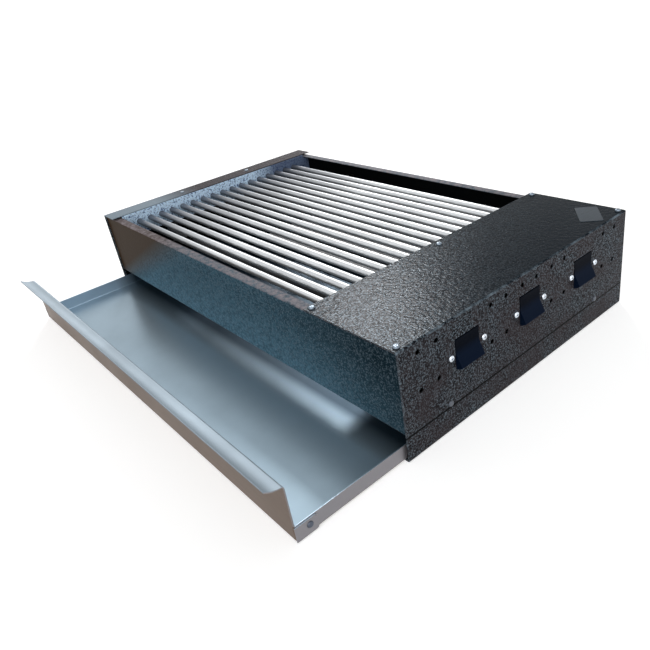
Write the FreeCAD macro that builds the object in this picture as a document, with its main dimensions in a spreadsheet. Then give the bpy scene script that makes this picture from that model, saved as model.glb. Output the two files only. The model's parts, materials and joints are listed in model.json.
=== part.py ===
"""Electric fish roaster: a sheet-metal casing with a rod grill over three tubular heating
elements, a control box at the right end with three rocker switches, and a drip tray that slides
out under the front.

Frame: millimetres, +X from the left end to the control end, +Y from the front to the back, +Z up.
The origin is the middle of the casing's footprint, on the table. The tray is modelled drawn out.
"""
import FreeCAD, Part
import math
import os

import Sketcher

Vector = FreeCAD.Vector

# Driving dimensions in millimetres and degrees, each with what it measures.
SIZES = [
    ("length", 600.0, "casing, left end to control end"),
    ("width", 350.0, "casing, front edge to back edge of the end panels"),
    ("height", 113.0, "table to the top of the end panels"),
    ("sheet", 1.0, "thickness of every casing sheet"),
    ("bend", 1.6, "outer radius of a bend in the sheet"),
    ("slack", 0.3, "gap between pieces that are slipped past each other"),
    ("setback", 2.5, "front and back panels in from the end panels' edges"),
    ("rim_width", 11.0, "front and back panels' top rim"),
    ("rim_drop", 3.5, "top rims below the end panels' tops"),
    ("hem", 8.0, "turned-in bottom edge of the front and back panels"),
    ("tab", 12.0, "upright tabs at the ends of the front and back panels"),
    ("mouth", 26.0, "table to the front panel's bottom edge"),
    ("seam", 26.0, "table to the end panels' bottom edges"),
    ("lap", 10.0, "runner upstand behind an end panel"),
    ("runner_flange", 24.0, "runner under the tray"),
    ("left_flange", 31.0, "left end panel's top flange"),
    ("cover_depth", 122.0, "control cover's top, along the length"),
    ("cover_lead", 3.0, "control cover's edge in front of the partition"),
    ("partition_flange", 22.0, "partition's flange under the cover"),
    ("header_leg", 32.0, "bar header's upright leg"),
    ("bar_diameter", 8.0, "grill bar"),
    ("bar_pitch", 17.3, "grill bar to grill bar"),
    ("bar_count", 17, "number of grill bars"),
    ("bar_drop", 12.0, "top of the casing to the top of the bars"),
    ("bar_tail", 7.0, "bar end beyond the header or the partition"),
    ("element_diameter", 7.0, "heating element's sheath"),
    ("element_drop", 7.0, "underside of the bars to the top of the elements"),
    ("element_pitch", 93.0, "heating element to heating element"),
    ("leg_spacing", 44.0, "leg to leg of one heating element"),
    ("element_reach", 20.0, "bar header to the elements' bends"),
    ("element_tail", 18.0, "element sheath beyond the partition"),
    ("bush_radius", 7.0, "flange of an element's bush"),
    ("bush_flange", 2.0, "thickness of that flange"),
    ("bush_thread_radius", 5.0, "threaded part of the bush"),
    ("bush_length", 9.0, "bush beyond the partition"),
    ("nut_radius", 8.0, "element nut, over its corners"),
    ("nut_depth", 4.0, "thickness of an element nut"),
    ("bead_radius", 3.2, "ceramic bead at an element's end"),
    ("bead_length", 7.0, "length of that bead"),
    ("stud_radius", 1.5, "terminal stud of an element"),
    ("stud_length", 10.0, "stud beyond the bead"),
    ("support_height", 16.0, "upright strip that carries the elements"),
    ("support_place", 60.0, "element bends to the support strip"),
    ("switch_pitch", 92.0, "rocker switch to rocker switch"),
    ("switch_height", 75.5, "table to the middle of the switches"),
    ("rocker_width", 31.0, "rocker along the panel"),
    ("rocker_radius", 15.4, "rocker's ends about its pivot"),
    ("rocker_half", 13.8, "half the height of the rocker's face"),
    ("rocker_tilt", 13.0, "rocker's lean either way, in degrees"),
    ("rocker_back", 7.0, "rocker behind its pivot"),
    ("pivot_depth", 3.0, "rocker pivot behind the panel's face"),
    ("pivot_radius", 1.25, "rocker pivot pin"),
    ("pivot_play", 0.06, "radial clearance of the rocker on its pin"),
    ("rocker_gap", 0.4, "gap round the rocker"),
    ("housing_depth", 27.0, "switch housing behind the panel"),
    ("housing_wall", 2.0, "wall of the switch housing"),
    ("ear_half", 27.0, "middle of a switch to the end of its ear"),
    ("ear_height", 14.0, "switch ear, up and down"),
    ("ear_depth", 3.0, "thickness of a switch ear"),
    ("ear_screw", 22.0, "middle of a switch to its screws"),
    ("blade_width", 6.3, "terminal blade"),
    ("blade_depth", 0.8, "thickness of a terminal blade"),
    ("blade_length", 10.0, "terminal blade behind the housing"),
    ("blade_offset", 8.0, "terminal blades above and below the switch's middle"),
    ("vent_radius", 2.5, "ventilation hole"),
    ("vent_pair", 22.0, "hole to hole in a pair of vents"),
    ("vent_outer", 141.0, "middle to the outer pairs of vents"),
    ("vent_inner", 47.0, "middle to the inner pairs of vents"),
    ("vent_upper", 102.0, "table to the upper row of vents"),
    ("vent_lower", 64.0, "table to the lower row of vents"),
    ("screw_radius", 1.6, "shank of every small screw"),
    ("screw_head", 3.2, "radius of a small screw's head"),
    ("head_height", 2.2, "height of a small screw's head"),
    ("screw_length", 7.0, "small screw under its head"),
    ("screw_edge", 6.0, "cover screws in from the cover's edges"),
    ("rivet_radius", 1.6, "rivet's shank"),
    ("rivet_head", 3.0, "radius of a rivet's head"),
    ("rivet_dome", 1.2, "height of a rivet's head"),
    ("seam_rivet_rise", 3.6, "end rivets above the seam"),
    ("seam_rivet_half", 118.0, "middle to the end rivets"),
    ("header_rivet_half", 58.0, "middle to the bar header's rivets"),
    ("header_rivet_inset", 16.0, "left end to the bar header's rivets"),
    ("label_length", 42.0, "bare label plate"),
    ("label_width", 24.0, "bare label plate, the short way"),
    ("label_depth", 0.4, "thickness of the label plate"),
    ("label_from_end", 27.0, "control end to the label's middle"),
    ("label_from_back", 29.0, "back edge to the label's middle"),
    ("label_turn", -50.0, "label's long side from the length, in degrees"),
    ("tray_sheet", 1.0, "thickness of the tray"),
    ("tray_side_gap", 3.0, "tray's sides to the casing's ends"),
    ("tray_wall", 16.0, "tray's side and back walls"),
    ("tray_front", 58.3, "tray's front wall"),
    ("tray_back_gap", 12.0, "closed tray's back wall to the back panel"),
    ("tray_drawn", 120.0, "how far the tray is drawn out"),
    ("tray_tab", 22.0, "corner tabs of the tray"),
    ("tray_rivet_inset", 14.0, "corner rivets in from the tray's front and back"),
    ("tray_rivet_rise", 9.0, "corner rivets above the tray's floor"),
    ("lip_reach", 16.0, "pull lip beyond the front wall"),
    ("lip_rise", 5.3, "pull lip's edge above its root"),
    ("gland_radius", 8.0, "cord gland's neck"),
    ("gland_flange", 11.0, "radius of the gland's flanges"),
    ("gland_depth", 3.0, "thickness of a gland flange"),
    ("gland_bore", 4.0, "radius of the cord's way through the gland"),
    ("gland_from_end", 68.0, "control end to the gland's middle"),
    ("gland_height", 58.0, "table to the gland's middle"),
    ("block_length", 36.0, "terminal block along the length"),
    ("block_width", 20.0, "terminal block across"),
    ("block_height", 17.0, "terminal block's height"),
    ("block_from_back", 24.0, "back panel to the terminal block"),
    ("pole_pitch", 11.0, "pole to pole in the terminal block"),
    ("pole_height", 8.0, "wire ways above the block's underside"),
    ("pole_radius", 1.8, "wire way through the block"),
    ("wire_radius", 1.2, "insulated lead"),
    ("lead_run", 17.0, "lead's straight run where it leaves a terminal"),
    ("lead_rise", 10.0, "how far a lead passes above the elements' level"),
    ("earth_inset", 12.0, "partition to the earth screw"),
]

doc = FreeCAD.newDocument("fish_roaster")
sheet_cells = doc.addObject("Spreadsheet::Sheet", "Sizes")


class Size:
    """A length worked out from the sheet: its value now and the formula that keeps it."""

    def __init__(self, value, formula):
        self.value = value
        self.formula = formula

    def __add__(self, other):
        return Size(self.value + number(other), f"({self.formula} + {formula(other)})")

    def __sub__(self, other):
        return Size(self.value - number(other), f"({self.formula} - {formula(other)})")

    def __mul__(self, other):
        return Size(self.value * number(other), f"({self.formula} * {formula(other)})")

    def __truediv__(self, other):
        return Size(self.value / number(other), f"({self.formula} / {formula(other)})")

    def __neg__(self):
        return Size(-self.value, f"(0 - {self.formula})")

    def __radd__(self, other):
        return self + other

    def __rsub__(self, other):
        return -self + other

    def __rmul__(self, other):
        return self * other


def number(size):
    return size.value if isinstance(size, Size) else size


def formula(size):
    return size.formula if isinstance(size, Size) else repr(size)


def root(size):
    return Size(math.sqrt(number(size)), f"sqrt({formula(size)})")


def tangent(degrees):
    return Size(math.tan(math.radians(number(degrees))), f"tan({formula(degrees)} * 1 deg)")


def bind(thing, path, size):
    """Ties a property to the sheet."""
    thing.setExpression(path, formula(size))


def fill_sheet():
    """Writes the driving dimensions to the sheet and gives them back by name."""
    sizes = {}
    for row, (name, value, meaning) in enumerate(SIZES, start=1):
        sheet_cells.set(f"A{row}", meaning)
        sheet_cells.set(f"B{row}", str(value))
        sheet_cells.setAlias(f"B{row}", name)
    doc.recompute()
    for name, value, meaning in SIZES:
        sizes[name] = Size(float(sheet_cells.get(name)), f"Sizes.{name}")
    return sizes


S = fill_sheet()

# Places that several pieces share.
right = S["length"] / 2
left = -right
back_edge = S["width"] / 2
front_edge = -back_edge
top = S["height"]
inner_right = right - S["sheet"]
inner_left = left + S["sheet"]
panel_back = back_edge - S["setback"]
panel_front = -panel_back
inside_back = panel_back - S["sheet"]
under_top = top - S["sheet"]
rim_top = top - S["rim_drop"]
rim_inner = panel_back - S["rim_width"]
header_face = left + S["left_flange"]
cover_edge = right - S["cover_depth"]
partition_face = cover_edge + S["cover_lead"]
partition_back = partition_face + S["sheet"]
floor_under = S["seam"] + S["lap"]
floor_top = floor_under + S["sheet"]
lap_inner = inner_right - S["sheet"]
lap_half = panel_back - S["hem"] - S["slack"]
bar_radius = S["bar_diameter"] / 2
bar_level = top - S["bar_drop"] - bar_radius
bar_span = S["bar_pitch"] * (S["bar_count"] - 1)
element_radius = S["element_diameter"] / 2
element_level = bar_level - bar_radius - S["element_drop"] - element_radius
element_end = partition_back + S["element_tail"]
seam_rivet_level = S["seam"] + S["seam_rivet_rise"]
tray_level = S["sheet"] + S["slack"]
tray_half = inner_right - S["tray_side_gap"]
tray_front_shut = panel_front - S["slack"] - S["tray_sheet"]
tray_back_shut = inside_back - S["tray_back_gap"]
tray_front_face = tray_front_shut - S["tray_drawn"]
tray_back_face = tray_back_shut - S["tray_drawn"]
switch_places = [("front", -S["switch_pitch"]), ("middle", S["switch_pitch"] * 0), ("rear", S["switch_pitch"])]
element_places = [("front", -S["element_pitch"]), ("middle", S["element_pitch"] * 0), ("rear", S["element_pitch"])]
vent_places = [
    (S["vent_outer"], "both"),
    (S["vent_inner"], "both"),
    (S["vent_inner"] * 0, "upper"),
]

parts = []


def keep(thing, label):
    """Names a finished sub-part and lists it."""
    thing.Label = label
    parts.append(thing)
    return thing


# Sketches and PartDesign features


def new_body(label):
    return keep(doc.addObject("PartDesign::Body", label), label)


def spot(point):
    return Vector(number(point[0]), number(point[1]), 0)


def place_point(profile, geometry, end, point):
    """Holds one point of a sketch by two formulas."""
    for kind, size in (("DistanceX", point[0]), ("DistanceY", point[1])):
        index = profile.addConstraint(Sketcher.Constraint(kind, -1, 1, geometry, end, number(size)))
        profile.setExpression(f"Constraints[{index}]", formula(size))


def add_arc(profile, start, end, centre, turn):
    """An arc from start to end, anticlockwise where turn is positive."""
    middle = spot(centre)
    first, last = (spot(start), spot(end)) if turn > 0 else (spot(end), spot(start))
    radius = (first - middle).Length
    angles = [math.atan2(p.y - middle.y, p.x - middle.x) for p in (first, last)]
    circle = Part.Circle(middle, Vector(0, 0, 1), radius)
    return profile.addGeometry(Part.ArcOfCircle(circle, angles[0], angles[1]), False)


def draw_loop(profile, loop):
    """Draws a closed outline. Each entry is a corner, and the centre and turn of the arc that
    leaves it, or None where a line does."""
    drawn = []
    for index, (start, arc) in enumerate(loop):
        end = loop[(index + 1) % len(loop)][0]
        if arc is None:
            geometry = profile.addGeometry(Part.LineSegment(spot(start), spot(end)), False)
            drawn.append((geometry, 1, 2))
        else:
            geometry = add_arc(profile, start, end, arc[0], arc[1])
            drawn.append((geometry, 1, 2) if arc[1] > 0 else (geometry, 2, 1))
    for index, (geometry, first, last) in enumerate(drawn):
        following = drawn[(index + 1) % len(drawn)]
        profile.addConstraint(Sketcher.Constraint("Coincident", geometry, last, following[0], following[1]))
    ends = [corner for corner, arc in loop[1:] + loop[:1]]
    for (geometry, first, last), (start, arc), end in zip(drawn, loop, ends):
        place_point(profile, geometry, first, start)
        if arc is not None:
            hold_centre(profile, geometry, start, end, arc)


def hold_centre(profile, geometry, start, end, arc):
    """Holds an arc's centre along the way that its two ends leave free."""
    across = abs(number(end[0]) - number(start[0]))
    along = abs(number(end[1]) - number(start[1]))
    kind, size = ("DistanceY", arc[0][1]) if across > along else ("DistanceX", arc[0][0])
    index = profile.addConstraint(Sketcher.Constraint(kind, -1, 1, geometry, 3, number(size)))
    profile.setExpression(f"Constraints[{index}]", formula(size))


def new_sketch(body, name, role):
    """An empty sketch on one of the body's own origin planes."""
    profile = body.newObject("Sketcher::SketchObject", name)
    plane = next(feature for feature in body.Origin.OriginFeatures if feature.Role == role)
    profile.AttachmentSupport = [(plane, "")]
    profile.MapMode = "FlatFace"
    return profile


def finish_feature(body, feature):
    body.Tip = feature
    doc.recompute()
    return feature


def pad(body, profile, depth):
    """Pads a sketch the same way on both sides of its plane."""
    feature = body.newObject("PartDesign::Pad", profile.Name + "_pad")
    feature.Profile = profile
    feature.SideType = "Symmetric"
    bind(feature, "Length", depth)
    return finish_feature(body, feature)


def pocket_through(body, profile):
    """Cuts a sketch through everything, both ways, and makes sure that it cut."""
    before = body.Tip.Shape.Volume
    feature = body.newObject("PartDesign::Pocket", profile.Name + "_pocket")
    feature.Profile = profile
    feature.SideType = "Symmetric"
    feature.Type = "ThroughAll"
    finish_feature(body, feature)
    if not feature.Shape.Volume < before:
        raise ValueError(f"{feature.Name} cut nothing")
    return feature


def holes(body, name, role, centres, radius):
    """Round holes through the body, square to the plane."""
    profile = new_sketch(body, name, role)
    for centre in centres:
        geometry = profile.addGeometry(Part.Circle(spot(centre), Vector(0, 0, 1), number(radius)), False)
        place_point(profile, geometry, 3, centre)
        index = profile.addConstraint(Sketcher.Constraint("Radius", geometry, number(radius)))
        profile.setExpression(f"Constraints[{index}]", formula(radius))
    return pocket_through(body, profile)


def windows(body, name, role, frames):
    """Rectangular openings through the body, square to the plane."""
    profile = new_sketch(body, name, role)
    for low, high in frames:
        corners = [low, (high[0], low[1]), high, (low[0], high[1])]
        draw_loop(profile, [(corner, None) for corner in corners])
    return pocket_through(body, profile)


def row_of(body, feature, profile, axis, pitch, count):
    """Repeats a feature along one of its sketch's axes."""
    pattern = body.newObject("PartDesign::LinearPattern", feature.Name + "_row")
    pattern.Originals = [feature]
    pattern.Direction = (profile, [axis])
    bind(pattern, "Length", pitch * (count - 1))
    bind(pattern, "Occurrences", count)
    return finish_feature(body, pattern)


def block(body, name, low, high, cut=False):
    """Adds a box to the body, or cuts one from it, between two corners."""
    kind = "PartDesign::SubtractiveBox" if cut else "PartDesign::AdditiveBox"
    feature = body.newObject(kind, name)
    for side, axis, start, end in zip(("Length", "Width", "Height"), "xyz", low, high):
        bind(feature, side, end - start)
        bind(feature, f"Placement.Base.{axis}", start)
    return finish_feature(body, feature)


def shift(point, direction, distance):
    """Moves a point along a unit direction, leaving a coordinate alone where it doesn't change."""
    moved = []
    for size, step in zip(point, direction):
        if step > 0:
            size = size + distance
        elif step < 0:
            size = size - distance
        moved.append(size)
    return tuple(moved)


def heading(start, end):
    """The axis direction from one corner of a square path to the next."""
    across = number(end[0]) - number(start[0])
    along = number(end[1]) - number(start[1])
    if abs(across) > abs(along):
        return (math.copysign(1, across), 0)
    return (0, math.copysign(1, along))


def bent_outline(corners, turn):
    """The outline of a sheet that follows a square path along its outer face and has a rounded
    bend at each inner corner. The path turns left where turn is 1 and right where it is -1."""
    headings = [heading(start, end) for start, end in zip(corners, corners[1:])]
    inward = [(-turn * way[1], turn * way[0]) for way in headings]
    outer = [(corners[0], None)]
    inner = [(shift(corners[0], inward[0], S["sheet"]), None)]
    for index in range(1, len(corners) - 1):
        backward = tuple(-step for step in headings[index - 1])
        start = shift(corners[index], backward, S["bend"])
        end = shift(corners[index], headings[index], S["bend"])
        centre = shift(start, inward[index - 1], S["bend"])
        outer.append((start, (centre, turn)))
        outer.append((end, None))
        inner.append((shift(start, inward[index - 1], S["sheet"]), None))
        inner.append((shift(end, inward[index], S["sheet"]), (centre, -turn)))
    outer.append((corners[-1], None))
    inner.append((shift(corners[-1], inward[-1], S["sheet"]), None))
    return outer + inner[::-1]


def bent_sheet(label, role, corners, turn, depth):
    """A bent sheet as a body: its outline on an origin plane, padded both ways."""
    body = new_body(label)
    profile = new_sketch(body, label + "_profile", role)
    draw_loop(profile, bent_outline(corners, turn))
    pad(body, profile, depth)
    return body


# Part primitives

TURNS = {
    "x": FreeCAD.Rotation(Vector(0, 1, 0), 90),
    "y": FreeCAD.Rotation(Vector(1, 0, 0), -90),
    "z": FreeCAD.Rotation(),
}


def set_base(thing, start):
    for axis, size in zip("xyz", start):
        bind(thing, f"Placement.Base.{axis}", size)


def rod(name, axis, start, reach, radius):
    """A cylinder from a point along an axis."""
    thing = doc.addObject("Part::Cylinder", name)
    thing.Placement = FreeCAD.Placement(Vector(), TURNS[axis])
    bind(thing, "Radius", radius)
    bind(thing, "Height", reach)
    set_base(thing, start)
    return thing


def hexagon(name, axis, start, reach, radius):
    """A six-sided prism from a point along an axis."""
    thing = doc.addObject("Part::Prism", name)
    thing.Placement = FreeCAD.Placement(Vector(), TURNS[axis])
    thing.Polygon = 6
    bind(thing, "Circumradius", radius)
    bind(thing, "Height", reach)
    set_base(thing, start)
    return thing


def box(name, low, high):
    """A box between two corners."""
    thing = doc.addObject("Part::Box", name)
    for side, start, end in zip(("Length", "Width", "Height"), low, high):
        bind(thing, side, end - start)
    set_base(thing, low)
    return thing


def fuse(name, things):
    joined = doc.addObject("Part::MultiFuse", name)
    joined.Shapes = things
    joined.Refine = True
    return joined


def cut(name, base, tool):
    left_over = doc.addObject("Part::Cut", name)
    left_over.Base = base
    left_over.Tool = tool
    return left_over


def group(label, things):
    """Like pieces as separate solids in one sub-part."""
    compound = doc.addObject("Part::Compound", label)
    compound.Links = things
    return keep(compound, label)


def step_along(start, axis, distance):
    """A point moved along an axis."""
    return tuple(size + distance if name == axis else size for name, size in zip("xyz", start))


def screw(name, axis, face, outward, reach):
    """A small screw whose head seats on a face; outward is 1 where it points along the axis."""
    head_start = face if outward > 0 else step_along(face, axis, -S["head_height"])
    shank_start = step_along(face, axis, -reach) if outward > 0 else face
    head = rod(name + "_head", axis, head_start, S["head_height"], S["screw_head"])
    shank = rod(name + "_shank", axis, shank_start, reach, S["screw_radius"])
    return fuse(name, [head, shank])


def rivet(name, axis, face, outward, grip):
    """A rivet with a head on a face and a closing head behind the sheets that it grips."""
    start = step_along(face, axis, -(grip + S["rivet_dome"])) if outward > 0 else step_along(face, axis, -S["rivet_dome"])
    far = step_along(start, axis, grip + S["rivet_dome"])
    shank = rod(name + "_shank", axis, step_along(start, axis, S["rivet_dome"]), grip, S["rivet_radius"])
    low_head = rod(name + "_low", axis, start, S["rivet_dome"], S["rivet_head"])
    high_head = rod(name + "_high", axis, far, S["rivet_dome"], S["rivet_head"])
    return fuse(name, [low_head, shank, high_head])


# The casing


def wall_panel(label, side):
    """The front panel (side -1) or the back panel (side 1), with its rim, bottom edge and tabs."""
    bottom = S["mouth"] if side < 0 else S["bend"]
    face = panel_back * side
    rim = rim_inner * side
    foot = (panel_back - S["hem"]) * side
    corners = [(rim, rim_top), (face, rim_top), (face, bottom), (foot, bottom)]
    body = bent_sheet(label, "YZ_Plane", corners, -side, inner_right * 2)
    tab_low = floor_top + S["slack"]
    tab_ends = sorted([inside_back * side, (inside_back - S["tab"]) * side], key=number)
    for name, start in (("left", inner_left), ("right", inner_right - S["sheet"])):
        low = (start, tab_ends[0], tab_low)
        high = (start + S["sheet"], tab_ends[1], rim_top - S["sheet"])
        block(body, f"{label}_{name}_tab", low, high)
    screw_places = [(cover_edge + S["screw_edge"], corner_screw * side), (right - S["screw_edge"], corner_screw * side)]
    holes(body, f"{label}_screw_holes", "XY_Plane", screw_places, S["screw_radius"])
    return body


corner_screw = back_edge - S["screw_edge"]


def make_front_panel():
    wall_panel("front_panel", -1)


def make_back_panel():
    body = wall_panel("back_panel", 1)
    gland = (right - S["gland_from_end"], S["gland_height"])
    holes(body, "gland_hole", "XZ_Plane", [gland], S["gland_radius"])


def seam_rivet_centres():
    return [(S["seam_rivet_half"] * side, seam_rivet_level) for side in (-1, 1)]


def header_rivet_centres():
    return [(left + S["header_rivet_inset"], S["header_rivet_half"] * side) for side in (-1, 1)]


def make_left_end_panel():
    corners = [(header_face, top), (left, top), (left, S["seam"])]
    body = bent_sheet("left_end_panel", "XZ_Plane", corners, 1, S["width"])
    holes(body, "left_seam_rivet_holes", "YZ_Plane", seam_rivet_centres(), S["rivet_radius"])
    holes(body, "header_rivet_holes", "XY_Plane", header_rivet_centres(), S["rivet_radius"])


def make_runner(label, side):
    """The strip that closes a lower end, laps up behind the end panel and turns in under the
    tray."""
    corners = [(right * side, S["seam"]), (right * side, 0 * right), ((right - S["runner_flange"]) * side, 0 * right)]
    body = bent_sheet(label, "XZ_Plane", corners, -side, S["width"])
    faces = sorted([inner_right * side, lap_inner * side], key=number)
    low = (faces[0], -lap_half, S["seam"] - S["sheet"] * 2)
    high = (faces[1], lap_half, S["seam"] + S["lap"])
    block(body, label + "_lap", low, high)
    holes(body, label + "_rivet_holes", "YZ_Plane", seam_rivet_centres(), S["rivet_radius"])


def bar_centre(index):
    return bar_span / -2 + S["bar_pitch"] * index


def bar_hole_row(body, name):
    """The row of holes that the grill bars pass through."""
    first = holes(body, name, "YZ_Plane", [(bar_centre(0), bar_level)], bar_radius + S["slack"])
    row_of(body, first, first.Profile[0], "H_Axis", S["bar_pitch"], S["bar_count"])


def rim_notches(body, name, low_x, high_x):
    """Clears the corners of an upright sheet for the front and back rims."""
    low_z = rim_top - S["sheet"] - S["slack"]
    for side, label in ((-1, "front"), (1, "back")):
        ends = sorted([(rim_inner - S["slack"]) * side, back_edge * side], key=number)
        block(body, f"{name}_{label}_notch", (low_x, ends[0], low_z), (high_x, ends[1], top), cut=True)


def make_bar_header():
    back = inner_left + S["bend"]
    corners = [(back, under_top), (header_face, under_top), (header_face, under_top - S["header_leg"])]
    depth = (inside_back - S["slack"]) * 2
    body = bent_sheet("bar_header", "XZ_Plane", corners, -1, depth)
    rim_notches(body, "header", back - S["slack"], header_face + S["slack"])
    holes(body, "header_fixing_holes", "XY_Plane", header_rivet_centres(), S["rivet_radius"])
    bar_hole_row(body, "header_bar_holes")


def element_legs():
    """The height and cross place of each of the elements' legs."""
    half = S["leg_spacing"] / 2
    return [(place + half * side, element_level) for name, place in element_places for side in (-1, 1)]


def cover_screw_centres():
    """The cover's screws: one near each corner and one beside the grill."""
    near = cover_edge + S["screw_edge"]
    far = right - S["screw_edge"]
    corners = [(x, corner_screw * side) for x in (near, far) for side in (-1, 1)]
    return corners + [(near + S["cover_lead"], 0 * near)]


def make_partition():
    """The wall between the grill and the control box, with the box's floor, in one bent sheet. The
    floor's far edge lies on the right runner's upstand."""
    corners = [
        (partition_face + S["partition_flange"], under_top),
        (partition_face, under_top),
        (partition_face, floor_under),
        (inner_right - S["slack"], floor_under),
    ]
    depth = (inside_back - S["slack"]) * 2
    body = bent_sheet("partition", "XZ_Plane", corners, 1, depth)
    end_x = partition_face + S["partition_flange"] + S["slack"]
    rim_notches(body, "partition", partition_face - S["slack"], end_x)
    holes(body, "cover_screw_hole", "XY_Plane", cover_screw_centres()[-1:], S["screw_radius"])
    holes(body, "element_holes", "YZ_Plane", element_legs(), S["bush_thread_radius"])
    holes(body, "earth_hole", "XY_Plane", [earth_place], S["screw_radius"])
    bar_hole_row(body, "partition_bar_holes")


earth_place = (partition_back + S["earth_inset"], S["element_pitch"])


def vent_centres():
    """Pairs of ventilation holes either side of the switches, and one pair over the middle."""
    centres = []
    for offset, rows in vent_places:
        levels = [S["vent_upper"]] if rows == "upper" else [S["vent_upper"], S["vent_lower"]]
        sides = [1] if rows == "upper" else [-1, 1]
        for side in sides:
            for hole in (-1, 1):
                centres += [(offset * side + S["vent_pair"] / 2 * hole, level) for level in levels]
    return centres


def make_control_cover():
    """The cover over the control box: its top, and the control panel bent down at the end."""
    corners = [(cover_edge, top), (right, top), (right, S["seam"])]
    body = bent_sheet("control_cover", "XZ_Plane", corners, -1, S["width"])
    holes(body, "cover_screw_holes", "XY_Plane", cover_screw_centres(), S["screw_radius"])
    half_width = S["rocker_width"] / 2 + S["rocker_gap"]
    half_height = S["rocker_radius"] + S["rocker_gap"]
    frames = []
    for name, place in switch_places:
        low = (place - half_width, S["switch_height"] - half_height)
        high = (place + half_width, S["switch_height"] + half_height)
        frames.append((low, high))
    windows(body, "rocker_windows", "YZ_Plane", frames)
    ear_screws = [(place + S["ear_screw"] * side, S["switch_height"]) for name, place in switch_places for side in (-1, 1)]
    holes(body, "switch_screw_holes", "YZ_Plane", ear_screws, S["screw_radius"])
    holes(body, "vents", "YZ_Plane", vent_centres(), S["vent_radius"])
    holes(body, "right_seam_rivet_holes", "YZ_Plane", seam_rivet_centres(), S["rivet_radius"])


def make_blank_label():
    """A bare metal plate on the cover's top, near the back corner."""
    plate = doc.addObject("Part::Box", "blank_label")
    bind(plate, "Length", S["label_length"])
    bind(plate, "Width", S["label_width"])
    bind(plate, "Height", S["label_depth"])
    turn = FreeCAD.Rotation(Vector(0, 0, 1), number(S["label_turn"]))
    plate.Placement = FreeCAD.Placement(Vector(), turn)
    corner = turn.multVec(Vector(number(S["label_length"]) / -2, number(S["label_width"]) / -2, 0))
    middle = (right - S["label_from_end"], back_edge - S["label_from_back"], top)
    set_base(plate, (middle[0] + corner.x, middle[1] + corner.y, middle[2]))
    keep(plate, "blank_label")


# The grill


def make_grill_bars():
    """Straight round bars from behind the header to behind the partition."""
    body = new_body("grill_bars")
    profile = new_sketch(body, "bar_section", "YZ_Plane")
    centre = (bar_centre(0), bar_level)
    geometry = profile.addGeometry(Part.Circle(spot(centre), Vector(0, 0, 1), number(bar_radius)), False)
    place_point(profile, geometry, 3, centre)
    index = profile.addConstraint(Sketcher.Constraint("Radius", geometry, number(bar_radius)))
    profile.setExpression(f"Constraints[{index}]", formula(bar_radius))
    start = header_face - S["sheet"] - S["bar_tail"]
    bind(profile, "AttachmentOffset.Base.z", start)
    feature = body.newObject("PartDesign::Pad", "bar")
    feature.Profile = profile
    bind(feature, "Length", partition_back + S["bar_tail"] - start)
    finish_feature(body, feature)
    row_of(body, feature, profile, "H_Axis", S["bar_pitch"], S["bar_count"])


def make_heating_element(name, place):
    """One U-shaped tubular element: two legs and the bend that joins them."""
    bend_radius = S["leg_spacing"] / 2
    bend_x = header_face + S["element_reach"] + bend_radius + element_radius
    reach = element_end - bend_x
    legs = []
    for side, end in ((-1, "low"), (1, "high")):
        start = (bend_x, place + bend_radius * side, element_level)
        legs.append(rod(f"{name}_leg_{end}", "x", start, reach, element_radius))
    bend = doc.addObject("Part::Torus", f"{name}_bend")
    bend.Placement = FreeCAD.Placement(Vector(), FreeCAD.Rotation(Vector(0, 0, 1), 90))
    bind(bend, "Radius1", bend_radius)
    bind(bend, "Radius2", element_radius)
    bend.Angle3 = 180
    set_base(bend, (bend_x, place, element_level))
    keep(fuse(name, legs + [bend]), name)


def make_element_fittings():
    """What holds and ends the elements at the partition: bushes, nuts, beads and studs."""
    bushes, nuts, beads, studs = [], [], [], []
    for index, (y, z) in enumerate(element_legs()):
        hole = element_radius + S["pivot_play"]
        flange = rod(f"bush_flange_{index}", "x", (partition_face - S["bush_flange"], y, z), S["bush_flange"], S["bush_radius"])
        thread = rod(f"bush_thread_{index}", "x", (partition_face, y, z), S["bush_length"], S["bush_thread_radius"])
        way = rod(
            f"bush_way_{index}",
            "x",
            (partition_face - S["bush_flange"], y, z),
            S["bush_flange"] + S["bush_length"],
            hole,
        )
        bushes.append(cut(f"bush_{index}", fuse(f"bush_body_{index}", [flange, thread]), way))
        nut_blank = hexagon(f"nut_blank_{index}", "x", (partition_back, y, z), S["nut_depth"], S["nut_radius"])
        nut_way = rod(f"nut_way_{index}", "x", (partition_back, y, z), S["nut_depth"], S["bush_thread_radius"])
        nuts.append(cut(f"nut_{index}", nut_blank, nut_way))
        bead_blank = rod(f"bead_blank_{index}", "x", (element_end, y, z), S["bead_length"], S["bead_radius"])
        bead_way = rod(f"bead_way_{index}", "x", (element_end, y, z), S["bead_length"], S["stud_radius"])
        beads.append(cut(f"bead_{index}", bead_blank, bead_way))
        reach = S["bead_length"] + S["stud_length"]
        studs.append(rod(f"stud_{index}", "x", (element_end, y, z), reach, S["stud_radius"]))
    group("element_bushes", bushes)
    group("element_nuts", nuts)
    group("element_beads", beads)
    group("element_studs", studs)


def make_element_support():
    """An upright strip between the front and back panels that the elements pass through."""
    bend_radius = S["leg_spacing"] / 2
    x = header_face + S["element_reach"] + bend_radius + element_radius + S["support_place"]
    half_height = S["support_height"] / 2
    body = new_body("element_support")
    low = (x, -inside_back, element_level - half_height)
    high = (x + S["sheet"], inside_back, element_level + half_height)
    block(body, "support_strip", low, high)
    for side, name in ((-1, "front"), (1, "back")):
        ends = sorted([inside_back * side, (inside_back - S["sheet"]) * side], key=number)
        foot_low = (x, ends[0], element_level - half_height)
        foot_high = (x + S["tab"], ends[1], element_level + half_height)
        block(body, f"support_{name}_foot", foot_low, foot_high)
    holes(body, "support_holes", "YZ_Plane", element_legs(), element_radius + S["slack"])


# The switches


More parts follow.
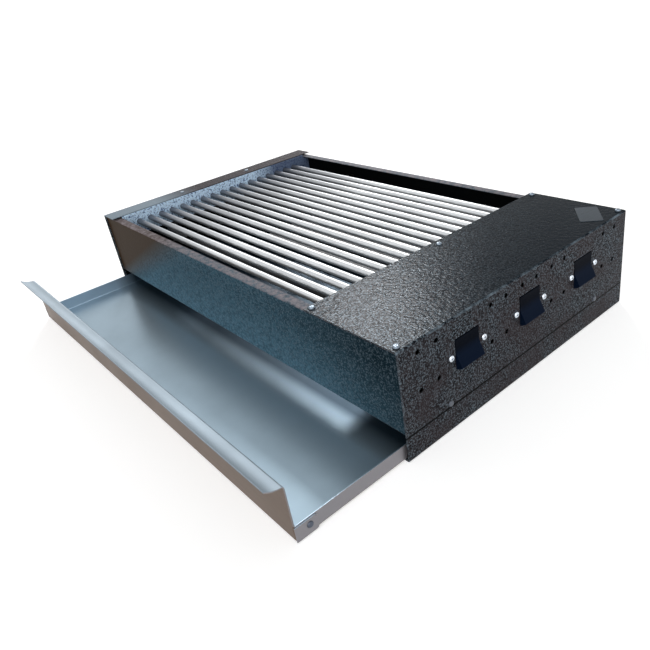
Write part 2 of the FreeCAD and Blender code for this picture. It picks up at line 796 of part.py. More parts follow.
def make_switch(name, place):
    """One rocker switch: its housing behind the panel and its rocker, leaning with the top in."""
    face = (inner_right, place, S["switch_height"])
    half_width = S["rocker_width"] / 2 + S["rocker_gap"]
    half_height = S["rocker_radius"] + S["rocker_gap"]
    wall = S["housing_wall"]
    zero = 0 * wall
    housing = new_body("switch_housing_" + name)
    low = (-S["housing_depth"], -(half_width + wall), -(half_height + wall))
    high = (zero, half_width + wall, half_height + wall)
    block(housing, f"{name}_housing_case", low, high)
    ear_low = (-S["ear_depth"], -S["ear_half"], S["ear_height"] / -2)
    ear_high = (zero, S["ear_half"], S["ear_height"] / 2)
    block(housing, f"{name}_housing_ears", ear_low, ear_high)
    hollow_low = (wall - S["housing_depth"], -half_width, -half_height)
    hollow_high = (zero, half_width, half_height)
    block(housing, f"{name}_housing_hollow", hollow_low, hollow_high, cut=True)
    for side, end in ((-1, "lower"), (1, "upper")):
        slot_low = (-S["housing_depth"], S["blade_width"] / -2, S["blade_offset"] * side - S["blade_depth"] / 2)
        slot_high = (wall - S["housing_depth"], S["blade_width"] / 2, S["blade_offset"] * side + S["blade_depth"] / 2)
        block(housing, f"{name}_housing_{end}_slot", slot_low, slot_high, cut=True)
    ear_screws = [(S["ear_screw"] * side, zero) for side in (-1, 1)]
    holes(housing, f"{name}_housing_screw_holes", "YZ_Plane", ear_screws, S["screw_radius"])
    pivot = (S["sheet"] - S["pivot_depth"], zero)
    holes(housing, f"{name}_housing_pivot_holes", "XZ_Plane", [pivot], S["pivot_radius"])
    set_base(housing, face)
    rocker = new_body("rocker_" + name)
    profile = new_sketch(rocker, f"rocker_{name}_profile", "XZ_Plane")
    draw_loop(profile, rocker_outline())
    pad(rocker, profile, S["rocker_width"])
    bore = S["pivot_radius"] + S["pivot_play"]
    holes(rocker, f"rocker_{name}_bore", "XZ_Plane", [(zero, zero)], bore)
    lean = FreeCAD.Rotation(Vector(0, 1, 0), -number(S["rocker_tilt"]))
    rocker.Placement = FreeCAD.Placement(Vector(), lean)
    set_base(rocker, (right - S["pivot_depth"], place, S["switch_height"]))


def rocker_outline():
    """A rocker seen from its end: a shallow V for its face, and ends that curve about its pivot."""
    radius = S["rocker_radius"]
    half = S["rocker_half"]
    corner_x = root(radius * radius - half * half)
    middle_x = corner_x - half * tangent(S["rocker_tilt"])
    rear_x = -S["rocker_back"]
    rear_half = root(radius * radius - S["rocker_back"] * S["rocker_back"])
    pivot = (0 * half, 0 * half)
    return [
        ((corner_x, half), (pivot, 1)),
        ((rear_x, rear_half), None),
        ((rear_x, -rear_half), (pivot, 1)),
        ((corner_x, -half), None),
        ((middle_x, 0 * half), None),
    ]


def make_switch_fittings():
    """The switches' pivot pins, terminal blades and screws."""
    pins, blades, screws = [], [], []
    half_width = S["rocker_width"] / 2 + S["rocker_gap"] + S["housing_wall"]
    blade_start = inner_right - S["housing_depth"] - S["blade_length"]
    for name, place in switch_places:
        start = (right - S["pivot_depth"], place - half_width, S["switch_height"])
        pins.append(rod(f"pin_{name}", "y", start, half_width * 2, S["pivot_radius"]))
        for side, end in ((-1, "lower"), (1, "upper")):
            level = S["switch_height"] + S["blade_offset"] * side
            low = (blade_start, place - S["blade_width"] / 2, level - S["blade_depth"] / 2)
            high = (blade_start + S["blade_length"] + S["housing_wall"] * 2, place + S["blade_width"] / 2, level + S["blade_depth"] / 2)
            blades.append(box(f"blade_{name}_{end}", low, high))
            face = (right, place + S["ear_screw"] * side, S["switch_height"])
            screws.append(screw(f"switch_screw_{name}_{end}", "x", face, 1, S["screw_length"]))
    group("switch_pivot_pins", pins)
    group("switch_terminals", blades)
    group("switch_screws", screws)


# The tray


def make_drip_tray():
    """One folded sheet: floor, low walls, tall front wall with a curved pull lip, corner tabs."""
    thick = S["tray_sheet"]
    half = tray_half
    low_z = tray_level
    wall_top = low_z + S["tray_wall"]
    front_top = low_z + S["tray_front"]
    front = tray_front_face
    back = tray_back_face
    pieces = [
        box("tray_floor", (-half, front, low_z), (half, back, low_z + thick)),
        box("tray_front_wall", (-half, front, low_z), (half, front + thick, front_top)),
        box("tray_back_wall", (-half, back - thick, low_z), (half, back, wall_top)),
        box("tray_left_wall", (-half, front, low_z), (thick - half, back, wall_top)),
        box("tray_right_wall", (half - thick, front, low_z), (half, back, wall_top)),
    ]
    for side, end in ((-1, "left"), (1, "right")):
        faces = sorted([half * side, (half + thick) * side], key=number)
        for y, corner in ((front, "front"), (back - S["tray_tab"], "back")):
            low = (faces[0], y, low_z)
            high = (faces[1], y + S["tray_tab"], wall_top - thick)
            pieces.append(box(f"tray_{corner}_{end}_tab", low, high))
    lip_radius = (S["lip_reach"] * S["lip_reach"] + S["lip_rise"] * S["lip_rise"]) / (S["lip_rise"] * 2)
    pieces.append(make_lip(lip_radius, (-half, front + thick, front_top + lip_radius - thick)))
    tray = fuse("tray_sheet", pieces)
    holes_cut = [
        rod(f"tray_rivet_hole_{index}", "x", start, thick * 4, S["rivet_radius"])
        for index, start in enumerate(tray_rivet_starts(thick * 3))
    ]
    keep(cut("drip_tray", tray, fuse("tray_rivet_holes", holes_cut)), "drip_tray")


def make_lip(radius, centre):
    """A strip bent to an arc that leaves the front wall level and rises to the lip's edge."""
    thick = S["tray_sheet"]
    half_angle = math.degrees(math.asin(number(S["lip_reach"] + thick) / number(radius)))
    outer = doc.addObject("Part::Cylinder", "lip_outside")
    inner = doc.addObject("Part::Cylinder", "lip_inside")
    turn = FreeCAD.Rotation(Vector(0, 1, 0), 90).multiply(FreeCAD.Rotation(Vector(0, 0, 1), -half_angle))
    for thing, size in ((outer, radius), (inner, radius - thick)):
        thing.Placement = FreeCAD.Placement(Vector(), turn)
        bind(thing, "Radius", size)
        bind(thing, "Height", tray_half * 2)
        thing.Angle = half_angle
        set_base(thing, centre)
    return cut("lip_strip", outer, inner)


def tray_rivet_starts(depth):
    """Where the tray's corner rivets start, a given depth in from the outside of the tabs."""
    level = tray_level + S["tray_rivet_rise"]
    places = (tray_front_face + S["tray_rivet_inset"], tray_back_face - S["tray_rivet_inset"])
    outside = tray_half + S["tray_sheet"]
    starts = [(-outside - S["tray_sheet"], y, level) for y in places]
    return starts + [(outside - depth, y, level) for y in places]


def make_tray_rivets():
    rivets = []
    level = tray_level + S["tray_rivet_rise"]
    grip = S["tray_sheet"] * 2
    for side, end in ((-1, "left"), (1, "right")):
        for y, corner in (
            (tray_front_face + S["tray_rivet_inset"], "front"),
            (tray_back_face - S["tray_rivet_inset"], "back"),
        ):
            face = ((tray_half + S["tray_sheet"]) * side, y, level)
            rivets.append(rivet(f"tray_rivet_{corner}_{end}", "x", face, side, grip))
    group("tray_rivets", rivets)


# Fasteners and wiring


def make_casing_fasteners():
    screws = []
    for index, (x, y) in enumerate(cover_screw_centres()):
        screws.append(screw(f"cover_screw_{index}", "z", (x, y, top), 1, S["screw_length"]))
    group("cover_screws", screws)
    header_rivets = []
    for index, (x, y) in enumerate(header_rivet_centres()):
        header_rivets.append(rivet(f"header_rivet_{index}", "z", (x, y, top), 1, S["sheet"] * 2))
    group("header_rivets", header_rivets)
    end_rivets = []
    for index, (y, z) in enumerate(seam_rivet_centres()):
        end_rivets.append(rivet(f"right_rivet_{index}", "x", (right, y, z), 1, S["sheet"] * 2))
        end_rivets.append(rivet(f"left_rivet_{index}", "x", (left, y, z), -1, S["sheet"] * 2))
    group("end_rivets", end_rivets)


def make_cable_gland():
    """A bush in the back panel: a flange outside, a neck through the sheet, a flange inside."""
    x = right - S["gland_from_end"]
    z = S["gland_height"]
    neck_start = (x, inside_back - S["gland_depth"], z)
    reach = S["sheet"] + S["gland_depth"] * 2
    neck = rod("gland_neck", "y", neck_start, reach, S["gland_radius"])
    outside = rod("gland_outside", "y", (x, panel_back, z), S["gland_depth"], S["gland_flange"])
    inside = rod("gland_inside", "y", neck_start, S["gland_depth"], S["gland_flange"])
    way = rod("gland_way", "y", neck_start, reach, S["gland_bore"])
    keep(cut("cable_gland", fuse("gland_body", [neck, outside, inside]), way), "cable_gland")


block_x = right - S["gland_from_end"]
block_back = inside_back - S["block_from_back"]
block_front = block_back - S["block_width"]


def pole_place(index):
    return block_x + S["pole_pitch"] * (index - 1)


def make_terminal_block():
    """An insulating block with three wire ways, each with a clamping screw from above."""
    body = new_body("terminal_block")
    half = S["block_length"] / 2
    low = (block_x - half, block_front, floor_top)
    high = (block_x + half, block_back, floor_top + S["block_height"])
    block(body, "block_case", low, high)
    level = floor_top + S["pole_height"]
    ways = [(pole_place(index), level) for index in range(3)]
    holes(body, "block_ways", "XZ_Plane", ways, S["pole_radius"])
    middle = (block_front + block_back) / 2
    wells = [(pole_place(index), middle) for index in range(3)]
    profile = new_sketch(body, "block_wells", "XY_Plane")
    bind(profile, "AttachmentOffset.Base.z", floor_top + S["block_height"])
    for centre in wells:
        geometry = profile.addGeometry(Part.Circle(spot(centre), Vector(0, 0, 1), number(S["screw_head"])), False)
        place_point(profile, geometry, 3, centre)
        index = profile.addConstraint(Sketcher.Constraint("Radius", geometry, number(S["screw_head"])))
        profile.setExpression(f"Constraints[{index}]", formula(S["screw_head"]))
    before = body.Tip.Shape.Volume
    feature = body.newObject("PartDesign::Pocket", "block_wells_pocket")
    feature.Profile = profile
    bind(feature, "Length", S["block_height"] - S["pole_height"])
    finish_feature(body, feature)
    if not feature.Shape.Volume < before:
        raise ValueError("the wells of the terminal block cut nothing")
    screws = []
    for index, (x, y) in enumerate(wells):
        start = (x, y, level + S["slack"])
        reach = S["block_height"] - S["pole_height"] - S["head_height"]
        screws.append(rod(f"block_screw_{index}", "z", start, reach, S["screw_head"] - S["slack"]))
    group("terminal_block_screws", screws)


def make_earth_screw():
    """The screw through the control box's floor that the earth lead is fixed to."""
    x, y = earth_place
    nut = hexagon("earth_nut", "z", (x, y, floor_top), S["nut_depth"], S["nut_radius"] / 2)
    shank = rod("earth_shank", "z", (x, y, floor_under - S["rivet_dome"]), S["screw_length"] + S["nut_depth"], S["screw_radius"])
    head = rod("earth_head", "z", (x, y, floor_under - S["rivet_dome"]), S["rivet_dome"], S["screw_head"])
    keep(fuse("earth_screw", [nut, shank, head]), "earth_screw")


def lead(name, points):
    """An insulated lead along straight runs joined by tangent arcs."""
    places = [Vector(*[number(size) for size in point]) for point in points]
    edges = []
    radii = []
    start = places[0]
    for before, here, after in zip(places, places[1:], places[2:]):
        inward = (before - here).normalize()
        outward = (after - here).normalize()
        half_turn = (math.pi - inward.getAngle(outward)) / 2
        cut_back = 0.45 * min((before - here).Length, (after - here).Length)
        enter = here + inward * cut_back
        leave = here + outward * cut_back
        radius = cut_back / math.tan(half_turn)
        radii.append(radius)
        centre_way = (inward + outward).normalize()
        middle = here + centre_way * (radius / math.cos(half_turn) - radius)
        edges.append(Part.LineSegment(start, enter).toShape())
        edges.append(Part.Arc(enter, middle, leave).toShape())
        start = leave
    edges.append(Part.LineSegment(start, places[-1]).toShape())
    print(f"{name}: arcs of {', '.join(f'{size:.1f}' for size in radii)} mm")
    path = Part.Wire(edges)
    radius = number(S["wire_radius"])
    section = Part.Wire(Part.Circle(places[0], places[1] - places[0], radius).toShape())
    thing = doc.addObject("Part::Feature", name)
    thing.Shape = path.makePipeShell([section], True, False)
    return thing


def make_leads():
    """The control box's wiring: supply to the switches, switches to the elements, the elements'
    return and the earth."""
    apart = S["wire_radius"] + S["slack"] / 2
    blade_end = inner_right - S["housing_depth"] - S["blade_length"] - S["slack"]
    stud_end = element_end + S["bead_length"] + S["stud_length"] + S["slack"]
    lower = S["switch_height"] - S["blade_offset"]
    upper = S["switch_height"] + S["blade_offset"]
    pole_level = floor_top + S["pole_height"]
    pole_start = block_front - S["slack"]
    half = S["leg_spacing"] / 2
    over = element_level + S["lead_rise"]

    live_x = blade_end - S["lead_run"]
    rear_switch = S["switch_pitch"]
    live = [
        lead(
            "live_to_rear",
            [
                (pole_place(2), pole_start, pole_level),
                (pole_place(2), pole_start - S["block_width"], pole_level),
                (live_x, rear_switch + apart, lower),
                (blade_end, rear_switch + apart, lower),
            ],
        )
    ]
    for name, (label, from_place), (other, to_place) in (
        ("live_to_middle", switch_places[2], switch_places[1]),
        ("live_to_front", switch_places[1], switch_places[0]),
    ):
        live.append(
            lead(
                name,
                [
                    (blade_end, from_place - apart, lower),
                    (live_x, from_place - apart, lower),
                    (live_x, to_place + apart, lower),
                    (blade_end, to_place + apart, lower),
                ],
            )
        )
    group("live_leads", live)

    switched = []
    for (label, place), (other, element_place) in zip(switch_places, element_places):
        leg = element_place + half
        switched.append(
            lead(
                f"switched_{label}",
                [
                    (blade_end, place, upper),
                    (blade_end - S["lead_run"], place, upper),
                    (stud_end + S["lead_run"], leg, element_level),
                    (stud_end, leg, element_level),
                ],
            )
        )
    group("switched_leads", switched)

    rear_leg = element_places[2][1] - half
    turn_x = stud_end + S["lead_run"]
    neutral = [
        lead(
            "neutral_to_rear",
            [
                (pole_place(1), pole_start, pole_level),
                (pole_place(1), pole_start - S["block_width"], pole_level),
                (turn_x, rear_leg, element_level - apart),
                (stud_end, rear_leg, element_level - apart),
            ],
        )
    ]
    for name, (label, from_place), (other, to_place) in (
        ("neutral_to_middle", element_places[2], element_places[1]),
        ("neutral_to_front", element_places[1], element_places[0]),
    ):
        neutral.append(
            lead(
                name,
                [
                    (stud_end, from_place - half, element_level + apart),
                    (turn_x, from_place - half, element_level + apart),
                    (turn_x, from_place - half - S["leg_spacing"] / 3, over),
                    (turn_x, to_place - half + S["leg_spacing"] / 3, over),
                    (turn_x, to_place - half, element_level + apart),
                    (stud_end, to_place - half, element_level + apart),
                ],
            )
        )
    group("neutral_leads", neutral)

    earth_x, earth_y = earth_place
    earth_side = earth_x + S["nut_radius"] / 2 + S["slack"]
    earth_level = floor_top + S["wire_radius"] + S["slack"]
    earth = lead(
        "earth_wire",
        [
            (pole_place(0), pole_start, pole_level),
            (pole_place(0), pole_start - S["lead_run"], pole_level),
            (pole_place(0), earth_y, earth_level),
            (earth_side, earth_y, earth_level),
        ],
    )
    keep(earth, "earth_lead")


def build():
    make_front_panel()
    make_back_panel()
    make_left_end_panel()
    make_control_cover()
    make_runner("left_runner", -1)
    make_runner("right_runner", 1)
    make_bar_header()
    make_partition()
    make_blank_label()
    make_grill_bars()
    for name, place in element_places:
        make_heating_element("heating_element_" + name, place)
    make_element_fittings()
    make_element_support()
    for name, place in switch_places:
        make_switch(name, place)
    make_switch_fittings()
    make_drip_tray()
    make_tray_rivets()
    make_casing_fasteners()
    make_cable_gland()
    make_terminal_block()
    make_earth_screw()
    make_leads()
    doc.recompute()


def check_model():
    """Stops where an object failed or a sub-part has no sound shape."""
    for thing in doc.Objects:
        if "Invalid" in thing.State or "Error" in thing.State:
            raise ValueError(f"{thing.Name} failed: {thing.State}")
    for thing in parts:
        if thing.Shape.isNull() or not thing.Shape.isValid():
            raise ValueError(f"{thing.Label} has no sound shape")


def export():
    os.makedirs("parts", exist_ok=True)
    for thing in parts:
        thing.Shape.exportStep(f"parts/{thing.Label}.step")
        box_now = thing.Shape.BoundBox
        print(
            f"{thing.Label}: {len(thing.Shape.Solids)} solids, "
            f"x {box_now.XMin:.1f} {box_now.XMax:.1f}, y {box_now.YMin:.1f} {box_now.YMax:.1f}, "
            f"z {box_now.ZMin:.1f} {box_now.ZMax:.1f}"
        )


build()
check_model()
export()
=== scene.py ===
"""Dresses the packed fish roaster.

The sheet-metal casing, rods, elements and wiring keep their solids and get their finishes. The
drip tray, rockers, screws, rivets, plate and cord gland are modelled again with rounded folds and
edges. A stage with a pale floor, soft lamps and a camera comes last.
"""

import json
import math

import bmesh
import bpy
from bpy.props import FloatProperty, FloatVectorProperty, PointerProperty
from mathutils import Matrix, Vector


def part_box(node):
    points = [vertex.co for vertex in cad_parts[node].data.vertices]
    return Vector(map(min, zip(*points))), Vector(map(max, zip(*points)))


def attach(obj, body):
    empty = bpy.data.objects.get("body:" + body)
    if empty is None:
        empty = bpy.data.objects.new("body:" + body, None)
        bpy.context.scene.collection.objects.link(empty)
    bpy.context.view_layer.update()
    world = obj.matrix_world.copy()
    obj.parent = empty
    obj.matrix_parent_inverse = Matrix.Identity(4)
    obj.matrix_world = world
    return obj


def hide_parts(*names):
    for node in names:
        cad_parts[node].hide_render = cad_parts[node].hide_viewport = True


bl_info = {
    "name": "Fish roaster",
    "version": (1, 0, 0),
    "blender": (4, 5, 0),
    "location": "3D View > Sidebar > Roaster",
    "description": "Finishes and detailed pieces for the packed fish roaster",
    "category": "Object",
}

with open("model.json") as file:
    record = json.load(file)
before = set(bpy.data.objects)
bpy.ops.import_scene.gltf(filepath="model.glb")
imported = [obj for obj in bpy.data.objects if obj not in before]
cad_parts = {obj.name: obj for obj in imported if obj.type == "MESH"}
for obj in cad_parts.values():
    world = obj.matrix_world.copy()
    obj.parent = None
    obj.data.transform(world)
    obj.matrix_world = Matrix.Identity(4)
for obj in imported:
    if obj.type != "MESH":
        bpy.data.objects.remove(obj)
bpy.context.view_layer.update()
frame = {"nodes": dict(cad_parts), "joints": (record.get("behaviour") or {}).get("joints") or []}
ROWS = ("front", "middle", "rear")

# The camera's place in metres, its turn in degrees and its shift as a share of the picture
CAMERA_PLACE = (0.61585, -0.44578, 0.38088)
CAMERA_TURN = (61.474, 7.197, 47.739)
CAMERA_SHIFT = (-0.06635, -0.02795)
# Direction each lamp shines from, and its width in degrees
KEY_LAMP = ((-0.668, 0.522, 0.53), 12.0)
FILL_LAMP = ((0.55, -0.62, 0.55), 70.0)
# How far out and up each ring of the floor's far edge goes, in metres
FLOOR_RINGS = ((3.0, 1.0), (2.0, 2.0), (1.0, 3.0))
WHITE = (1.0, 1.0, 1.0, 1.0)


# Property helpers


def length(name, description, default):
    """A size in metres that a user may change, from a fifth to five times its default."""
    return FloatProperty(
        name=name, description=description, default=default, min=default / 5, max=default * 5,
        precision=5, subtype="DISTANCE", unit="LENGTH",
    )


def colour(name, description, *levels):
    """A colour that a user may change. Its levels of 0 to 255 become the linear values of a shader."""
    linear = [
        value / 12.92 if value <= 0.04045 else ((value + 0.055) / 1.055) ** 2.4
        for value in (level / 255 for level in levels)
    ]
    return FloatVectorProperty(
        name=name, description=description, default=linear, min=0.0, max=1.0, size=3, subtype="COLOR"
    )


def angle(name, description, degrees):
    """An angle that a user may change."""
    return FloatProperty(name=name, description=description, default=math.radians(degrees), subtype="ANGLE")


def amount(name, description, default, low, high):
    """A plain number that a user may change."""
    return FloatProperty(name=name, description=description, default=default, min=low, max=high)


# Sizes and colours


class RoasterPaint(bpy.types.PropertyGroup):
    """Hammered enamel on the casing."""

    valley: colour("Valleys", "Enamel between the hammered cells", 8, 11, 16)
    crown: colour("Crowns", "Enamel on top of the hammered cells", 46, 54, 58)
    fleck: colour("Flecks", "Metal flake that shows through the enamel", 136, 152, 164)
    umber: colour("Umber", "Browner enamel in broad patches", 54, 46, 48)
    teal: colour("Teal", "Bluer enamel of the front and back panels", 58, 86, 100)
    deep: colour("Deep teal", "The same towards the control end", 14, 32, 40)
    # Painted reflection: the brown that covers the front panel's left end
    left_end_reflection: colour("Bronze", "The same at the left end", 54, 40, 26)
    # Painted highlight: these two colours make the bar header's enamel pale, as if lit
    header_highlight: colour("Header", "Pale speckled enamel of the bar header", 206, 232, 255)
    slate: colour("Header valleys", "Darker cells of the same", 44, 78, 132)
    # Painted reflection of the tray, low on the front panel
    tray_reflection: colour("Front panel, foot", "Enamel low on the front panel", 84, 120, 138)
    # Painted shade: the left flange's top darkens to this towards the back
    flange_rear_shade: colour("Left flange", "The left flange towards the back", 42, 30, 36)
    # Painted shade: the cover's top darkens to this towards the back corner
    cover_rear_shade: colour("Cover, rear", "The cover's top towards the back corner", 6, 19, 28)
    # Painted shade: the bar header darkens to this towards the back
    header_rear_shade: colour("Header, rear", "The same towards the back", 44, 56, 92)
    rim: colour("Rims", "Worn rims and hems of the front and back panels", 134, 126, 130)
    # Soot and painted shade inside the casing; the same colour paints the shadow along the seam
    soot_and_shade: colour("Soot", "Smoked inside of the casing", 8, 10, 11)
    cell: length("Cell", "Width of one hammered cell", 0.0034)
    relief: length("Relief", "Height of the hammered cells", 0.00016)
    # Width of the painted highlight along a fold, which is partly wear; the masks for the top, the end face
    # and the seam use it too
    fold: length("Worn fold", "Width of the worn band along a fold", 0.0016)


class RoasterMetal(bpy.types.PropertyGroup):
    """Bare and plated metal."""

    rod: colour("Rods", "Grill rods", 240, 243, 245)
    # Painted shade: the rods darken to this towards the bar header
    scale: colour("Rod ends", "Grill rods towards the bar header", 98, 102, 110)
    sheath: colour("Element sheath", "Heat-stained steel tube", 34, 32, 31)
    stain: colour("Heat stain", "Bluish stain on the element sheath", 24, 28, 36)
    sheet: colour("Zinc sheet", "Zinc-coated sheet inside the casing", 140, 146, 150)
    plated: colour("Plated steel", "Nuts, studs and clips", 158, 156, 150)
    bright: colour("Bright screws", "Nickel-plated screws and rivets", 222, 230, 240)
    brass: colour("Brass", "Terminal clamps and blades", 196, 160, 88)
    screw: colour("Cover screws", "Dulled screws on the cover", 128, 140, 152)
    painted: colour("Painted rivets", "Rivets painted with the casing", 74, 80, 90)
    plate: colour("Bare plate", "Plate on the cover's top", 44, 56, 66)
    plate_length: length("Plate length", "Long side of the bare plate", 0.042)
    plate_width: length("Plate width", "Short side of the bare plate", 0.024)
    plate_corner: length("Plate corners", "Radius of the plate's corners", 0.002)
    plate_edge: length("Plate edges", "Rounding of the plate's edges", 0.0001)
    plate_turn: angle("Plate turn", "Long side of the plate from the casing's length", -50.0)


class RoasterTray(bpy.types.PropertyGroup):
    """The drip tray's folds, lip and finish."""

    inside: colour("Inside", "Tray steel on the side that catches the drips", 160, 181, 195)
    # Painted shade and painted reflection of the casing where the tray lies under it
    shade_under_casing: colour("Smoked", "The same where it lies under the casing", 52, 70, 84)
    lip: colour("Lip", "Tray steel on top of the pull lip", 142, 154, 163)
    rivet: colour("Rivets", "Dull rivets in the tray's corners", 92, 98, 110)
    outside: colour("Outside", "Tray steel on the side that is handled", 104, 87, 74)
    # Painted reflection on the inside of the side walls
    wall_reflection: colour("Inner ends", "Tray steel on the inside of the side walls", 192, 212, 228)
    # Painted highlight on the outside of the side walls
    side_wall_highlight: colour("Sides", "Tray steel on the outside of the side walls", 136, 134, 138)
    thickness: length("Sheet", "Thickness of the tray's sheet", 0.001)
    fold: length("Fold", "Outer radius of the tray's folds", 0.0018)
    wall: length("Low walls", "Height of the side and back walls", 0.016)
    front: length("Front wall", "Height of the front wall", 0.0583)
    lip_reach: length("Lip reach", "Lip's edge in front of the front wall", 0.016)
    lip_rise: length("Lip rise", "Lip's edge above its root", 0.0053)
    tab: length("Corner tabs", "Length of the corner tabs", 0.022)
    tab_corner: length("Tab corners", "Rounding of the tabs' inner corners", 0.003)
    edge: length("Cut edges", "Rounding of the sheet's cut edges", 0.00018)


class RoasterFasteners(bpy.types.PropertyGroup):
    """Screws and rivets."""

    head_radius: length("Screw head radius", "Radius of a pan head", 0.0032)
    head_height: length("Screw head height", "Height of a pan head", 0.0022)
    shank_radius: length("Shank radius", "Radius of every screw and rivet shank", 0.0016)
    shank_length: length("Screw length", "Screw under its head", 0.007)
    tip: length("Screw tip", "Tapered end of a screw", 0.0008)
    slot_width: length("Cross slot", "Width of the cross recess", 0.00075)
    slot_length: length("Cross length", "Length of each arm pair of the cross", 0.0036)
    rivet_radius: length("Rivet head radius", "Radius of a rivet's head", 0.003)
    rivet_height: length("Rivet head height", "Height of a rivet's head", 0.0012)
    grip: length("Rivet grip", "Thickness of the sheets that a rivet holds", 0.002)


class RoasterPlastics(bpy.types.PropertyGroup):
    """Rockers, housings, gland, beads and wire insulation."""

    rocker: colour("Rockers", "Blue-black rockers", 10, 21, 38)
    housing: colour("Housings", "Matt black housings and terminal block", 26, 26, 27)
    rubber: colour("Gland", "Rubber of the cord gland", 24, 24, 24)
    bead: colour("Beads", "Ceramic of the element beads", 222, 214, 198)
    live: colour("Live", "Insulation of the live leads", 104, 62, 38)
    switched: colour("Switched", "Insulation of the switched leads", 38, 38, 40)
    neutral: colour("Neutral", "Insulation of the neutral leads", 38, 84, 152)
    earth: colour("Earth", "Main colour of the earth lead", 66, 128, 52)
    stripe: colour("Earth stripe", "Stripe of the earth lead", 214, 190, 44)
    rocker_half: length("Rocker half", "Half the height of a rocker's face", 0.0138)
    rocker_back: length("Rocker back", "Rocker behind its pivot", 0.007)
    edge: length("Rocker edge", "Rounding of a rocker's edges", 0.0009)
    gland_neck: length("Gland neck", "Radius of the cord gland between its flanges", 0.008)
    gland_bore: length("Gland bore", "Radius of the cord's way through the gland", 0.004)
    gland_flange: length("Gland flange", "Thickness of a gland flange", 0.003)
    gland_edge: length("Gland edges", "Rounding of the gland's flanges", 0.0006)


class RoasterStage(bpy.types.PropertyGroup):
    """Floor, lamps and camera."""

    floor: colour("Floor", "Colour of the floor and its raised far edge", 236, 236, 236)
    lift: amount("Background lift", "White added to what the camera and reflections see", 0.47, 0.0, 1.0)
    sky: amount("Surroundings", "Strength of the plain surroundings", 0.42, 0.0, 2.0)
    key: amount("Key lamp", "Strength of the soft lamp behind the left end", 1.0, 0.0, 10.0)
    fill: amount("Fill lamp", "Strength of the soft lamp in front", 1.65, 0.0, 10.0)
    lens: amount("Lens", "Focal length in millimetres for a 36 mm frame", 35.065, 10.0, 200.0)
    floor_radius: length("Floor radius", "Reach of the floor", 40.0)


GROUPS = {
    "roaster_paint": RoasterPaint,
    "roaster_metal": RoasterMetal,
    "roaster_tray": RoasterTray,
    "roaster_fasteners": RoasterFasteners,
    "roaster_plastics": RoasterPlastics,
    "roaster_stage": RoasterStage,
}


# Finishes


def dimmed(shade, share):
    """A darker tone of a colour."""
    return tuple(value * share for value in shade)


class Nodes:
    """Adds nodes to the tree of a material or of the surroundings."""

    def __init__(self, tree):
        self.tree = tree

    def fill(self, socket, value):
        """Links an output to an input, or sets the input's number or colour."""
        if isinstance(value, bpy.types.NodeSocket):
            self.tree.links.new(value, socket)
        else:
            socket.default_value = value

    def node(self, kind, inputs, **settings):
        """Adds a node with its settings and inputs."""
        made = self.tree.nodes.new("ShaderNode" + kind)
        for key, value in settings.items():
            setattr(made, key, value)
        for key, value in inputs.items():
            self.fill(made.inputs[key], value)
        return made

    def value(self, kind, inputs, **settings):
        """The first output of a new node."""
        return self.node(kind, inputs, **settings).outputs[0]

    def ramp(self, factor, *stops):
        """A grey for each stop of a factor."""
        made = self.node("ValToRGB", {"Fac": factor})
        elements = made.color_ramp.elements
        while len(elements) < len(stops):
            elements.new(0.5)
        for element, (place, grey) in zip(elements, stops):
            element.position = place
            element.color = (grey, grey, grey, 1.0)
        return made.outputs["Color"]

    def blend(self, factor, first, second):
        """Goes from the first colour to the second."""
        first, second = (
            shade if isinstance(shade, bpy.types.NodeSocket) else (*shade, 1.0) for shade in (first, second)
        )
        return self.node("Mix", {0: factor, 6: first, 7: second}, data_type="RGBA").outputs[2]

    def spread(self, factor, low, high):
        """Carries a factor of 0 to 1 over to the range between two numbers."""
        return self.value("MapRange", {"Value": factor, "To Min": low, "To Max": high})

    def slope(self, value, start, end):
        """0 before one value, 1 after another, and a slope between them."""
        return self.value("MapRange", {"Value": value, "From Min": start, "From Max": end})

    def both(self, *factors, operation="MULTIPLY"):
        """1 where all the factors are 1."""
        joined = factors[0]
        for factor in factors[1:]:
            joined = self.value("Math", {0: joined, 1: factor}, operation=operation)
        return joined

    def either(self, *factors):
        """1 where any of the factors is 1."""
        return self.both(*factors, operation="MAXIMUM")

    def sum(self, first, second, share):
        """The first factor plus a share of the second."""
        return self.value("Math", {0: second, 1: share, 2: first}, operation="MULTIPLY_ADD")

    def seen_directly(self):
        """1 for what the camera, reflections and glass see, 0 for what only gives light."""
        rays = self.node("LightPath", {}).outputs
        return self.either(rays["Is Camera Ray"], rays["Is Glossy Ray"], rays["Is Transmission Ray"])


